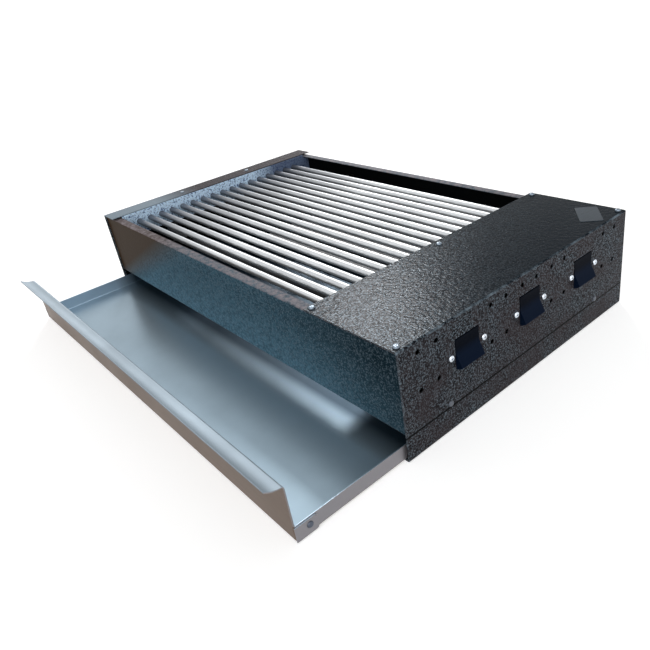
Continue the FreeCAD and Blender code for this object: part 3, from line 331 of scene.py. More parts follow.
class Look(Nodes):
    """A material whose pattern is placed by the piece's own coordinates."""

    def __init__(self, name, base, metallic, roughness):
        self.material = bpy.data.materials.new(name)
        self.material.use_nodes = True
        self.material.diffuse_color = (*base, 1.0)
        super().__init__(self.material.node_tree)
        self.shader = self.tree.nodes["Principled BSDF"]
        self.put("Base Color", (*base, 1.0))
        self.put("Metallic", metallic)
        self.put("Roughness", roughness)
        self.coordinates = self.node("TexCoord", {}).outputs["Object"]
        self.places = self.node("SeparateXYZ", {"Vector": self.coordinates}).outputs

    def put(self, name, value):
        """Fills one of the shader's own inputs."""
        self.fill(self.shader.inputs[name], value)

    def bump(self, height, relief):
        """Raises the surface by a height of 0 to 1 times a distance in metres."""
        self.put("Normal", self.value("Bump", {"Height": height, "Distance": relief}))

    def surface(self, base, roughness, height, relief):
        """Sets colour, roughness and relief together and returns the material."""
        self.put("Base Color", base)
        self.put("Roughness", roughness)
        self.bump(height, relief)
        return self.material

    def stretched(self, factors, turn=0.0):
        """The piece's coordinates, squeezed and then turned about their upright axis."""
        inputs = {"Vector": self.coordinates, "Scale": factors, "Rotation": (0.0, 0.0, turn)}
        return self.value("Mapping", inputs)

    def noise(self, size, detail=2.0, vector=None, roughness=0.5):
        """Soft noise whose blotches are about as wide as size."""
        inputs = {"Vector": vector or self.coordinates, "Scale": 1.0 / size}
        return self.value("TexNoise", inputs | {"Detail": detail, "Roughness": roughness})

    def cells(self, size, vector=None, feature="F1"):
        """Distance from the middle of each cell."""
        inputs = {"Vector": vector or self.coordinates, "Scale": 1.0 / size}
        return self.value("TexVoronoi", inputs, feature=feature)

    def along(self, axis, start, end):
        """The slope between two places on an axis."""
        return self.slope(self.places[axis], start, end)

    def beside(self, axis, edge, width, start, end):
        """The same slope between two multiples of a width from an edge."""
        return self.along(axis, edge + width * start, edge + width * end)


def hammered(look, paint, crown, valley, relief, shine, gloss):
    """Puts the hammered relief, shine and gloss on a finish and returns the pattern's colour."""
    cell = paint.cell
    wander = look.value("VectorMath", {0: look.noise(cell * 1.6), "Scale": cell * 1.1}, operation="SCALE")
    moved = look.value("VectorMath", {0: look.coordinates, 1: wander}, operation="ADD")
    domes = look.cells(cell, moved, "SMOOTH_F1")
    height = look.ramp(domes, (0.0, 1.0), (0.3, 0.8), (0.62, 0.16), (0.85, 0.0))
    grain = look.noise(cell * 0.5, 3.0, roughness=0.7)
    look.bump(look.sum(height, grain, 0.3), relief)
    look.put("Roughness", look.spread(grain, shine, shine + 0.12))
    look.put("Specular IOR Level", gloss)
    deep = look.blend(look.ramp(domes, (0.22, 0.0), (0.62, 1.0)), crown, valley)
    flake = look.ramp(look.noise(cell * 0.48, roughness=0.6), (0.5, 0.0), (0.6, 1.0))
    return look.blend(look.spread(flake, 0.0, 0.5), deep, paint.fleck)


def inside_casing(look):
    """1 on the faces that look into the casing, 0 on its outside."""
    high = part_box("back_panel")[1]
    left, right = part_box("left_end_panel")[0].x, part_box("control_cover")[1].x
    skin = 0.0005
    return look.both(
        look.beside("Y", -high.y, skin, 1, 2), look.beside("Y", high.y, skin, -1, -2),
        look.beside("X", left, skin, 1, 2), look.beside("X", right, skin, -1, -2),
        look.beside("Z", high.z, skin, -1, -2),
    )


def cover_enamel(paint):
    """Enamel of the cover and the end panels, with painted light: shade on the top towards the rear,
    highlights along the folds that are partly wear, brown patches on the end face that are partly a warm
    reflection, a reflection on the left flange, shadow along the seam, and soot with shade inside.
    """
    look = Look("cover_enamel", paint.crown, 0.06, 0.3)
    low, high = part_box("control_cover")
    fold = paint.fold
    crown = look.blend(look.noise(0.14), paint.crown, paint.umber)
    base = hammered(look, paint, crown, paint.valley, paint.relief, shine=0.16, gloss=0.017)

    # Painted shade on the cover's top, deepening towards the back corner
    on_top = look.beside("Z", high.z, fold, -1.0, -0.5)
    over_box = look.along("X", -low.x, low.x)
    slanted = look.sum(look.places["Y"], look.places["X"], 1.25)
    shade_rearward = look.ramp(
        look.slope(slanted, 0.19, 0.42), (0.0, 0.0), (0.3, 0.42), (0.55, 0.74), (1.0, 0.95)
    )
    base = look.blend(look.both(on_top, over_box, shade_rearward), base, paint.cover_rear_shade)

    end = look.beside("X", high.x, fold, -1.0, -0.6)
    panel = look.both(end, look.beside("Z", high.z, fold, -0.5, -1.0))
    # Brown patches on the end face: partly the enamel's patchy tone, partly a painted warm reflection
    warm_reflection = look.ramp(look.noise(0.035, 3.0), (0.35, 0.1), (0.65, 0.65))
    base = look.blend(look.both(panel, warm_reflection), base, paint.umber)

    # Painted highlights along the end panel's top and side folds, in patches that are partly wear
    patches = look.ramp(look.noise(0.02, 4.0, roughness=0.75), (0.42, 0.0), (0.6, 1.0))
    top_fold_highlight = look.both(end, look.beside("Z", high.z, fold, -1.4, -0.8))
    side_fold_highlight = look.both(end, look.beside("Y", low.y, fold, 1.0, 0.5))
    worn = look.both(look.either(top_fold_highlight, look.spread(side_fold_highlight, 0.0, 0.4)), patches)
    base = look.blend(look.spread(worn, 0.0, 0.5), base, paint.fleck)

    # Painted shadow: a dark line along the cover's lower edge, where it laps the runner
    seam_shadow = look.both(
        look.beside("Z", low.z, fold, 0.8, 0.5), look.beside("Z", low.z, fold, -0.8, -0.5)
    )
    base = look.blend(seam_shadow, base, paint.soot_and_shade)
    # Painted reflection on the left flange's top: pale flecks at the front, fading to painted shade towards
    # the back
    flange = look.blend(look.along("Y", low.y * 0.6, low.y * 0.2), paint.fleck, paint.flange_rear_shade)
    base = look.blend(look.both(on_top, look.spread(over_box, 0.85, 0.0)), base, flange)
    # Soot and painted shade on every face that looks into the casing
    look.put("Base Color", look.blend(inside_casing(look), base, paint.soot_and_shade))
    return look.material


def panel_enamel(paint):
    """Smoother, bluer enamel of the front and back panels; on the front, a painted reflection of the tray
    lightens the foot and a painted brown reflection covers the left end.
    """
    look = Look("panel_enamel", paint.teal, 0.05, 0.4)
    low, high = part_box("front_panel")
    band = 0.001
    in_front = look.beside("Y", 0.0, band, 1.0, -1.0)
    # Painted reflection of the tray: lighter low on the front panel, fading towards the control end
    foot = look.both(
        in_front, look.along("Z", high.z * 0.85, low.z), look.along("X", high.x * 1.1, high.x * 0.55)
    )
    shade = look.blend(look.along("X", high.x * 0.3, high.x * 0.9), paint.teal, paint.deep)
    shade = look.blend(foot, shade, paint.tray_reflection)
    base = hammered(look, paint, shade, paint.deep, paint.relief * 0.35, shine=0.36, gloss=0.015)
    base = look.blend(0.55, base, shade)

    # Painted reflection: brown over the front panel's left end, up to a slanted edge
    slanted = look.sum(look.places["X"], look.places["Z"], -2.0)
    reflection_leftward = look.slope(slanted, -0.28, -0.36)
    base = look.blend(look.both(in_front, reflection_leftward), base, paint.left_end_reflection)

    patches = look.ramp(look.noise(0.006, 4.0, roughness=0.75), (0.36, 0.1), (0.64, 1.0))
    rim = look.both(look.beside("Z", high.z, band, -0.9, -0.5), patches)
    hem = look.both(look.beside("Z", low.z, band, 1.2, 0.8), in_front)
    # Soot and painted shade on every face that looks into the casing
    base = look.blend(inside_casing(look), base, paint.soot_and_shade)
    look.put("Base Color", look.blend(look.either(rim, look.spread(hem, 0.0, 0.6)), base, paint.rim))
    return look.material


def lit_header_enamel(paint):
    """Bar header enamel painted pale and speckled as if lit, with painted glints and painted shade towards
    the back.
    """
    look = Look("lit_header_enamel", paint.header_highlight, 0.1, 0.4)
    base = hammered(look, paint, paint.header_highlight, paint.slate, paint.relief * 2.0, shine=0.26, gloss=0.3)
    # Painted glints
    glint = look.ramp(look.noise(paint.cell * 0.8, 3.0, roughness=0.7), (0.44, 0.0), (0.52, 1.0))
    base = look.blend(glint, base, paint.header_highlight)
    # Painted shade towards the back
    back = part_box("bar_header")[1].y
    shade_rearward = look.spread(look.along("Y", back * 0.35, back * 0.6), 0.0, 0.85)
    look.put("Base Color", look.blend(shade_rearward, base, paint.header_rear_shade))
    return look.material


def drawn_rod(metal):
    """Bright drawn rod: faint drawing lines along it, and painted shade towards the bar header."""
    look = Look("drawn_rod", metal.rod, 0.78, 0.3)
    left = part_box("grill_bars")[0].x
    lines = look.noise(0.0012, 3.0, look.stretched((0.04, 1.0, 1.0)))
    cloud = look.noise(0.05, 3.0, look.stretched((0.6, 1.0, 1.0)))
    # Painted shade on the rods, darkest at the bar header
    shade = look.blend(look.along("X", left, left * 0.2), metal.scale, metal.rod)
    base = look.blend(look.spread(cloud, 0.0, 0.5), shade, dimmed(metal.scale, 0.72))
    return look.surface(base, look.spread(lines, 0.32, 0.44), lines, relief=0.00003)


def stained_sheath(metal):
    """Element tube after many firings: dull steel with bluish stains."""
    look = Look("stained_sheath", metal.sheath, 0.75, 0.5)
    cloud = look.noise(0.03, 4.0, roughness=0.6)
    scale = look.noise(0.0015, 4.0, roughness=0.7)
    base = look.blend(look.ramp(cloud, (0.35, 0.0), (0.65, 1.0)), metal.sheath, metal.stain)
    return look.surface(base, look.spread(scale, 0.38, 0.7), scale, relief=0.00006)


def zinc_sheet(name, shade):
    """Zinc-coated sheet with faint spangle."""
    look = Look(name, shade, 0.85, 0.4)
    spangle = look.cells(0.009)
    cloud = look.noise(0.04, 3.0)
    base = look.blend(look.sum(spangle, cloud, 0.5), shade, dimmed(shade, 0.7))
    return look.surface(base, look.spread(spangle, 0.3, 0.5), look.noise(0.002, 3.0), relief=0.00003)


def rolled_steel(name, shade, low, high, metallic=0.9, shade_under_casing=None, walls=None):
    """Rolled tray steel. The optional Y colour, with where along Y it starts and is full, is painted shade
    and a painted reflection of the casing where the tray lies under it; the optional X colour, the same
    along X, is painted light on the side walls.
    """
    look = Look(name, shade, metallic, low)
    lines = look.noise(0.0016, 3.0, look.stretched((0.03, 1.0, 1.0)))
    cloud = look.noise(0.09, 4.0, roughness=0.6)
    base = look.blend(look.ramp(cloud, (0.3, 0.0), (0.75, 1.0)), shade, dimmed(shade, 0.86))
    if walls:
        side, start, full = walls
        ends = look.either(look.along("X", start, full), look.along("X", -start, -full))
        base = look.blend(ends, base, side)
    if shade_under_casing:
        under_shade, start, full = shade_under_casing
        base = look.blend(look.along("Y", start, full), base, under_shade)
    roughness = look.spread(look.sum(cloud, lines, 0.35), low, high)
    return look.surface(base, roughness, lines, relief=0.00002)


def plated(name, shade, roughness):
    """Plated steel or brass with slight unevenness."""
    look = Look(name, shade, 1.0, roughness)
    cloud = look.noise(0.003, 3.0)
    base = look.blend(look.spread(cloud, 0.0, 0.7), shade, dimmed(shade, 0.75))
    return look.surface(base, look.spread(cloud, roughness * 0.7, roughness * 1.5), cloud, relief=0.00004)


def moulded(name, shade, low, high, grain=0.0006, relief=0.00002):
    """Moulded plastic, rubber or glazed ceramic with a fine surface grain."""
    look = Look(name, shade, 0.0, low)
    fine = look.noise(grain, 3.0, roughness=0.6)
    cloud = look.noise(0.012)
    paler = tuple(min(1.0, value * 1.5 + 0.003) for value in shade)
    base = look.blend(look.spread(cloud, 0.0, 0.6), shade, paler)
    return look.surface(base, look.spread(look.sum(cloud, fine, 0.4), low, high), fine, relief)


def rocker_plastic(plastics, bottom, top):
    """Smooth blue-black plastic, with painted shade blacker towards the top of each rocker."""
    look = Look("rocker_plastic", plastics.rocker, 0.0, 0.4)
    look.put("Specular IOR Level", 0.02)
    fine = look.noise(0.0009, 3.0, roughness=0.6)
    # Painted shade, blacker towards each rocker's top
    shaded_top = look.along("Z", bottom * 0.55 + top * 0.45, bottom * 0.3 + top * 0.7)
    base = look.blend(shaded_top, plastics.rocker, dimmed(plastics.rocker, 0.3))
    return look.surface(base, look.spread(fine, 0.35, 0.5), fine, relief=0.00001)


def striped_wire(plastics):
    """Green insulation with a yellow stripe."""
    look = Look("earth_insulation", plastics.earth, 0.0, 0.4)
    inputs = {"Vector": look.coordinates, "Scale": 60.0}
    wave = look.node("TexWave", inputs, wave_type="BANDS", bands_direction="DIAGONAL")
    bands = look.ramp(wave.outputs["Fac"], (0.52, 0.0), (0.6, 1.0))
    base = look.blend(bands, plastics.earth, plastics.stripe)
    roughness = look.spread(look.noise(0.004), 0.32, 0.5)
    return look.surface(base, roughness, look.noise(0.0008), relief=0.00002)


def brushed_plate(metal):
    """Bare plate with a fine brushed grain."""
    look = Look("brushed_plate", metal.plate, 0.5, 0.35)
    look.put("Specular IOR Level", 0.1)
    lines = look.noise(0.0007, 3.0, look.stretched((1.0, 0.04, 1.0), math.radians(-40.0)))
    base = look.blend(look.ramp(lines, (0.3, 0.0), (0.7, 1.0)), metal.plate, dimmed(metal.plate, 0.6))
    return look.surface(base, look.spread(lines, 0.28, 0.48), lines, relief=0.00003)


def dress(material, *nodes):
    """Gives CAD nodes a finish."""
    for name in nodes:
        piece = frame["nodes"][name]
        piece.data.materials.clear()
        piece.data.materials.append(material)


# Modelling helpers


def clear_selection():
    """Leaves edit mode and deselects everything, so an operator acts on the new piece alone."""
    if bpy.context.mode != "OBJECT":
        bpy.ops.object.mode_set(mode="OBJECT")
    bpy.ops.object.select_all(action="DESELECT")


def take(piece):
    """Makes one piece the only one that is selected."""
    clear_selection()
    piece.select_set(True)
    bpy.context.view_layer.objects.active = piece


def new_piece(name, add, **settings):
    """Adds a primitive and opens it in edit mode."""
    clear_selection()
    add(**settings)
    piece = bpy.context.active_object
    piece.name = name
    piece.data.name = name
    bpy.ops.object.transform_apply()
    bpy.ops.object.mode_set(mode="EDIT")
    return piece


def block(name, place, size, turn=0.0):
    """A box round a place, turned about its upright axis and opened in edit mode."""
    settings = {"location": place, "rotation": (0.0, 0.0, turn), "scale": size}
    return new_piece(name, bpy.ops.mesh.primitive_cube_add, size=1.0, **settings)


def cylinder(name, sides, radius, depth, height=0.0, tip=0.0):
    """A cylinder whose middle is at a height, tipped over from upright and opened in edit mode."""
    return new_piece(
        name, bpy.ops.mesh.primitive_cylinder_add, vertices=sides, radius=radius, depth=depth,
        location=(0.0, 0.0, height), rotation=(tip, 0.0, 0.0),
    )


def middle(item):
    """The middle of an edge or a face."""
    return sum((vertex.co for vertex in item.verts), Vector()) / len(item.verts)


def pick(piece, kind, test):
    """Selects the vertices, edges or faces that pass a test, and no others."""
    bpy.ops.mesh.select_mode(type=kind)
    bpy.ops.mesh.select_all(action="DESELECT")
    mesh = bmesh.from_edit_mesh(piece.data)
    items = {"VERT": mesh.verts, "EDGE": mesh.edges, "FACE": mesh.faces}[kind]
    found = [item for item in items if test(item)]
    if not found:
        raise RuntimeError(f"nothing to select on {piece.name}")
    for item in found:
        item.select_set(True)
    mesh.select_flush_mode()
    bmesh.update_edit_mesh(piece.data)


def near(value, wanted, slack=1e-5):
    """Whether a value is the wanted one but for rounding."""
    return abs(value - wanted) < slack


def flat_at(height, way):
    """A test for faces that lie at a height and look up (1) or down (-1)."""
    return lambda face: near(middle(face).z, height) and face.normal.z * way > 0.9


def upright(edge):
    """Whether an edge stands upright."""
    first, second = (vertex.co for vertex in edge.verts)
    return near(first.x, second.x) and near(first.y, second.y)


def push(vector):
    """Extrudes what is selected and moves it."""
    bpy.ops.mesh.extrude_region_move(TRANSFORM_OT_translate={"value": vector})


def narrow(share):
    """Scales what is selected to a share of its width, about its own middle."""
    bpy.ops.transform.resize(value=(share, share, 1.0))


def raise_edges(height):
    """Extrudes the selected edges upwards."""
    bpy.ops.mesh.extrude_edges_move(TRANSFORM_OT_translate={"value": (0.0, 0.0, height)})


def modify(piece, kind, **settings):
    """Adds a modifier and applies it."""
    take(piece)
    modifier = piece.modifiers.new(kind.title(), kind)
    for key, value in settings.items():
        setattr(modifier, key, value)
    bpy.ops.object.modifier_apply(modifier=modifier.name)


def round_off(piece, width, segments, degrees):
    """Rounds the edges between faces at more than an angle."""
    limit = math.radians(degrees)
    modify(piece, "BEVEL", width=width, segments=segments, limit_method="ANGLE", angle_limit=limit)


def cut(piece, cutter):
    """Takes one piece's form out of another, and removes it."""
    modify(piece, "BOOLEAN", operation="DIFFERENCE", object=cutter, solver="EXACT")
    bpy.data.objects.remove(cutter)


def copy_to(piece, matrix, name):
    """A copy with its own mesh, turned and moved, its place in its mesh."""
    mesh = piece.data.copy()
    mesh.transform(matrix)
    copied = bpy.data.objects.new(name, mesh)
    bpy.context.scene.collection.objects.link(copied)
    return copied


def weld(pieces, name):
    """Joins pieces into one object."""
    take(pieces[0])
    for piece in pieces:
        piece.select_set(True)
    bpy.ops.object.join()
    joined = bpy.context.active_object
    joined.name = name
    joined.data.name = name
    return joined


def hand_over(piece, body, node, slot, *materials):
    """Smooths a piece, gives it its finish and puts it in place of its CAD node."""
    take(piece)
    bpy.ops.object.shade_smooth_by_angle(angle=math.radians(35.0))
    modify(piece, "WEIGHTED_NORMAL", keep_sharp=True)
    piece.data.materials.clear()
    for material in materials:
        piece.data.materials.append(material)
    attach(piece, body)
    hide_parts(node)


def facing(direction):
    """The turn that points a piece's top along a direction."""
    return Vector((0.0, 0.0, 1.0)).rotation_difference(Vector(direction)).to_matrix().to_4x4()


# Pieces


def pan_head_screw(sizes):
    """One screw under the origin's plane with its head above: domed pan head, cross recess, shank."""
    top = sizes.head_height
    screw = cylinder("screw", 32, sizes.head_radius, top, height=top / 2)
    pick(screw, "EDGE", lambda edge: near(middle(edge).z, top) and edge.calc_length() < sizes.head_radius)
    bpy.ops.mesh.bevel(offset=top * 0.78, segments=6, profile=0.55, affect="EDGES")
    pick(screw, "FACE", flat_at(0.0, -1))
    bpy.ops.mesh.inset(thickness=sizes.head_radius - sizes.shank_radius)
    push((0.0, 0.0, sizes.tip - sizes.shank_length))
    push((0.0, 0.0, -sizes.tip))
    narrow(0.55)
    for turn in (0.0, math.pi / 2):
        slot = block("slot", (0.0, 0.0, top), (sizes.slot_length, sizes.slot_width, top * 1.1), turn)
        pick(slot, "FACE", lambda face: face.normal.z < -0.9)
        narrow(0.62)
        cut(screw, slot)
    return screw


def round_rivet(sizes):
    """One rivet: domed head above the origin's plane, and its shank below."""
    top = sizes.rivet_height
    rivet = cylinder("rivet", 28, sizes.rivet_radius, top, height=top / 2)
    pick(rivet, "EDGE", lambda edge: near(middle(edge).z, top))
    bpy.ops.mesh.bevel(offset=top * 0.94, segments=6, profile=0.5, affect="EDGES")
    pick(rivet, "VERT", lambda vertex: near(vertex.co.z, top, 2e-4))
    bpy.ops.mesh.remove_doubles(threshold=1e-6)
    pick(rivet, "FACE", flat_at(top, 1))
    bpy.ops.mesh.inset(thickness=sizes.rivet_radius * 0.25)
    pick(rivet, "FACE", flat_at(0.0, -1))
    bpy.ops.mesh.inset(thickness=sizes.rivet_radius - sizes.shank_radius)
    push((0.0, 0.0, -sizes.grip))
    clear_selection()
    return rivet


def scatter(original, places, name):
    """Copies one piece to each (place, direction) and joins the copies."""
    copies = [
        copy_to(original, Matrix.Translation(place) @ facing(direction), f"{name}_{index}")
        for index, (place, direction) in enumerate(places)
    ]
    bpy.data.objects.remove(original)
    return weld(copies, name)


def lumps(node):
    """The lowest and the highest corner of each separate solid of a CAD node."""
    mesh = bmesh.new()
    mesh.from_mesh(frame["nodes"][node].data)
    bmesh.ops.remove_doubles(mesh, verts=mesh.verts[:], dist=1e-6)
    left = set(mesh.verts)
    boxes = []
    while left:
        stack = [left.pop()]
        points = []
        while stack:
            vertex = stack.pop()
            points.append(vertex.co.copy())
            for edge in vertex.link_edges:
                other = edge.other_vert(vertex)
                if other in left:
                    left.remove(other)
                    stack.append(other)
        boxes.append([Vector(map(end, zip(*points))) for end in (min, max)])
    mesh.free()
    return sorted(boxes, key=lambda box: (round(box[0].x, 4), round(box[0].y, 4)))


def heads_along(node, axis, rise):
    """Where the fasteners of a node sit: under their heads, with the direction the heads face."""
    places = []
    for low, high in lumps(node):
        centre = (low + high) / 2
        side = 1 if axis == 2 or centre[axis] > 0 else -1
        outer = high[axis] if side > 0 else low[axis]
        centre[axis] = outer - side * rise
        direction = Vector()
        direction[axis] = side
        places.append((centre, direction))
    return places


class ROASTER_OT_casing(bpy.types.Operator):
    """Gives the casing's sheets their hammered enamel, and the wall inside it its zinc"""

    bl_idname = "roaster.casing"
    bl_label = "Casing"

    def execute(self, context):
        paint = context.scene.roaster_paint
        dress(cover_enamel(paint), "left_end_panel", "control_cover", "left_runner", "right_runner")
        dress(panel_enamel(paint), "front_panel", "back_panel")
        dress(lit_header_enamel(paint), "bar_header")
        dress(zinc_sheet("partition_sheet", context.scene.roaster_metal.sheet), "partition")
        return {"FINISHED"}


class ROASTER_OT_grill(bpy.types.Operator):
    """Gives the rods, heating elements and their fittings their finishes"""

    bl_idname = "roaster.grill"
    bl_label = "Grill"

    def execute(self, context):
        metal = context.scene.roaster_metal
        bead = context.scene.roaster_plastics.bead
        ceramic = moulded("bead_ceramic", bead, 0.25, 0.45, grain=0.001, relief=0.00004)
        dress(drawn_rod(metal), "grill_bars")
        dress(stained_sheath(metal), *(f"heating_element_{place}" for place in ROWS))
        dress(plated("plated_steel", metal.plated, 0.3), "element_bushes", "element_nuts", "element_studs")
        # Painted shade: the element support takes the dark sheath colour, not bare zinc
        dress(zinc_sheet("support_strip", metal.sheath), "element_support")
        dress(ceramic, "element_beads")
        return {"FINISHED"}


class ROASTER_OT_wiring(bpy.types.Operator):
    """Gives the housings, terminals and leads inside the control box their finishes"""

    bl_idname = "roaster.wiring"
    bl_label = "Wiring"

    def execute(self, context):
        metal = context.scene.roaster_metal
        plastics = context.scene.roaster_plastics
        housing = moulded("housing_plastic", plastics.housing, 0.4, 0.62)
        dress(housing, *(f"switch_housing_{place}" for place in ROWS), "terminal_block")
        dress(plated("terminal_brass", metal.brass, 0.28), "switch_terminals")
        clamps = plated("clamp_steel", metal.plated, 0.26)
        dress(clamps, "switch_pivot_pins", "terminal_block_screws", "earth_screw")
        for lead in ("live", "switched", "neutral"):
            shade = getattr(plastics, lead)
            dress(moulded(f"{lead}_insulation", shade, 0.3, 0.5, grain=0.0008), f"{lead}_leads")
        dress(striped_wire(plastics), "earth_lead")
        return {"FINISHED"}


class ROASTER_OT_fasteners(bpy.types.Operator):
    """Models the cross-head screws and the domed rivets of the casing and the tray"""

    bl_idname = "roaster.fasteners"
    bl_label = "Screws and rivets"

    def execute(self, context):
        sizes = context.scene.roaster_fasteners
        metal = context.scene.roaster_metal
        bright = plated("bright_nickel", metal.bright, 0.16)
        dulled = plated("dulled_nickel", metal.screw, 0.3)
        painted = moulded("painted_rivet", metal.painted, 0.3, 0.45)
        worn = plated("worn_rivet", context.scene.roaster_tray.rivet, 0.4)
        screw = (pan_head_screw, sizes.head_height)
        rivet = (round_rivet, sizes.rivet_height)
        for node, (model, rise), axis, body, look in (
            ("cover_screws", screw, 2, "casing", dulled),
            ("switch_screws", screw, 0, "casing", bright),
            ("header_rivets", rivet, 2, "casing", dulled),
            ("end_rivets", rivet, 0, "casing", painted),
            ("tray_rivets", rivet, 0, "tray", worn),
        ):
            heads = scatter(model(sizes), heads_along(node, axis, rise), node + "_heads")
            hand_over(heads, body, node, "fastener_steel", look)
        return {"FINISHED"}


class ROASTER_OT_rockers(bpy.types.Operator):
    """Models one rocker with rounded edges and copies it to each switch"""

    bl_idname = "roaster.rockers"
    bl_label = "Rockers"

    def execute(self, context):
        plastics = context.scene.roaster_plastics
        joints = {joint["name"]: joint for joint in frame["joints"]}
        low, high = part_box("rocker_middle")
        gloss = rocker_plastic(plastics, low.z, high.z)
        radius, width = (high.z - low.z) / 2, high.y - low.y
        half = plastics.rocker_half
        tilt = math.radians(joints["rocker_middle_rock"]["range_deg"][1] / 2)
        rocker = cylinder("rocker", 96, radius, width, tip=math.pi / 2)
        back = (-plastics.rocker_back, 0.0, 0.0)
        bpy.ops.mesh.bisect(plane_co=back, plane_no=(1.0, 0.0, 0.0), use_fill=True, clear_inner=True)
        valley = math.sqrt(radius**2 - half**2) - half * math.tan(tilt)
        reach = radius * 1.2
        cutter = block("rocker_face", (valley + radius, 0.0, 0.0), (radius * 2, width * 2, reach * 2))
        pick(cutter, "FACE", lambda face: face.normal.x < -0.9)
        bpy.ops.mesh.subdivide(number_cuts=1)
        pick(cutter, "VERT", lambda vertex: near(vertex.co.x, valley) and abs(vertex.co.z) > reach / 2)
        bpy.ops.transform.translate(value=(reach * math.tan(tilt), 0.0, 0.0))
        cut(rocker, cutter)
        round_off(rocker, plastics.edge, segments=4, degrees=40.0)
        for place in ROWS:
            pivot = Vector(joints[f"rocker_{place}_rock"]["pos_m"])
            rest = Matrix.Translation(pivot) @ Matrix.Rotation(-tilt, 4, "Y")
            copied = copy_to(rocker, rest, f"rocker_{place}_cap")
            hand_over(copied, f"rocker_{place}_body", f"rocker_{place}", "rocker_plastic", gloss)
        bpy.data.objects.remove(rocker)
        return {"FINISHED"}


class ROASTER_OT_tray(bpy.types.Operator):
    """Models the drip tray as one folded sheet with a curved pull lip and riveted corner tabs"""

    bl_idname = "roaster.tray"
    bl_label = "Drip tray"

    def execute(self, context):
        sizes = context.scene.roaster_tray
        thick, wall, tab = sizes.thickness, sizes.wall, sizes.tab
        low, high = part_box("drip_tray")
        half = high.x - thick
        front, back, base = low.y + sizes.lip_reach, high.y, low.z
        lip_root = base + sizes.front - thick

        # The floor and the walls folded up from it
        centre = (0.0, (front + back) / 2, base)
        tray = new_piece("tray", bpy.ops.mesh.primitive_plane_add, size=1.0, location=centre)
        bpy.ops.transform.resize(value=(half * 2, back - front, 1.0), center_override=centre)
        bpy.ops.mesh.select_mode(type="EDGE")
        bpy.ops.mesh.select_all(action="SELECT")
        raise_edges(wall)
        pick(tray, "EDGE", lambda edge: near(middle(edge).z, base + wall) and near(middle(edge).y, front))
        raise_edges(sizes.front - thick - wall)

        # The lip, an arc from the front wall's top
        pick(tray, "EDGE", lambda edge: near(middle(edge).z, lip_root) and near(middle(edge).y, front))
        radius = (sizes.lip_reach**2 + sizes.lip_rise**2) / (2 * sizes.lip_rise)
        sweep = math.asin((sizes.lip_reach + thick) / radius) - math.asin(thick / radius)
        pivot = (0.0, front + thick, lip_root + radius)
        bpy.ops.mesh.spin(steps=9, angle=sweep, center=pivot, axis=(1.0, 0.0, 0.0))

        # The rounded folds and the sheet's thickness
        sharp = math.radians(50.0)
        pick(tray, "EDGE", lambda edge: len(edge.link_faces) == 2 and edge.calc_face_angle(0.0) > sharp)
        bpy.ops.mesh.bevel(offset=sizes.fold, segments=4, profile=0.5, affect="EDGES")
        modify(tray, "SOLIDIFY", thickness=thick, offset=1.0, use_even_offset=True)

        # The corner tabs, with their inner corners rounded
        tall = wall - thick
        tabs = []
        for side in (-1, 1):
            for start, inner in ((front, front + tab), (back - tab, back - tab)):
                place = (side * (half + thick / 2), start + tab / 2, base + tall / 2)
                tabs.append(block("tab", place, (thick, tab, tall)))
                pick(tabs[-1], "EDGE", lambda edge: near(middle(edge).y, inner) and not upright(edge))
                bpy.ops.mesh.bevel(offset=sizes.tab_corner, segments=4, affect="EDGES")
        tray = weld([tray, *tabs], "tray_sheet")
        round_off(tray, sizes.edge, segments=2, degrees=60.0)

        # One finish for each side of the sheet and one for the lip
        # Painted highlight on the outside of the side walls
        side_wall_highlight = (sizes.side_wall_highlight, half - thick * 0.5, half)
        outside = rolled_steel("tray_outside", sizes.outside, 0.34, 0.5, metallic=0.7, walls=side_wall_highlight)
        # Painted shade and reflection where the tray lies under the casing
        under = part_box("front_panel")[0].y
        shade_under_casing = (sizes.shade_under_casing, under - tab * 0.9, under + tab * 0.5)
        # Painted reflection on the inside of the side walls
        wall_reflection = (sizes.wall_reflection, half - thick * 4.0, half - thick)
        inside = rolled_steel("tray_inside", sizes.inside, 0.24, 0.34, 0.78, shade_under_casing, wall_reflection)
        lip = rolled_steel("tray_lip", sizes.lip, 0.5, 0.6)
        hand_over(tray, "tray", "drip_tray", "tray_steel", outside, inside, lip)
        inset = thick * 0.5
        for face in tray.data.polygons:
            x, y, z = face.center
            up = face.normal.z > 0.5
            inward = front + inset < y < back - inset and abs(x) < half - inset and z > base + inset
            on_lip = up and y < front + thick and z > lip_root - thick
            face.material_index = 2 if on_lip else 1 if inward or up else 0
        return {"FINISHED"}


class ROASTER_OT_plate(bpy.types.Operator):
    """Models the bare plate on the cover's top, with rounded corners"""

    bl_idname = "roaster.plate"
    bl_label = "Bare plate"

    def execute(self, context):
        metal = context.scene.roaster_metal
        low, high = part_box("blank_label")
        plate = block("bare_plate", (0.0, 0.0, 0.0), (metal.plate_length, metal.plate_width, high.z - low.z))
        pick(plate, "EDGE", upright)
        bpy.ops.mesh.bevel(offset=metal.plate_corner, segments=4, affect="EDGES")
        round_off(plate, metal.plate_edge, segments=2, degrees=50.0)
        turn = Matrix.Rotation(metal.plate_turn, 4, "Z")
        plate.data.transform(Matrix.Translation((low + high) / 2) @ turn)
        hand_over(plate, "casing", "blank_label", "label_metal", brushed_plate(metal))
        return {"FINISHED"}


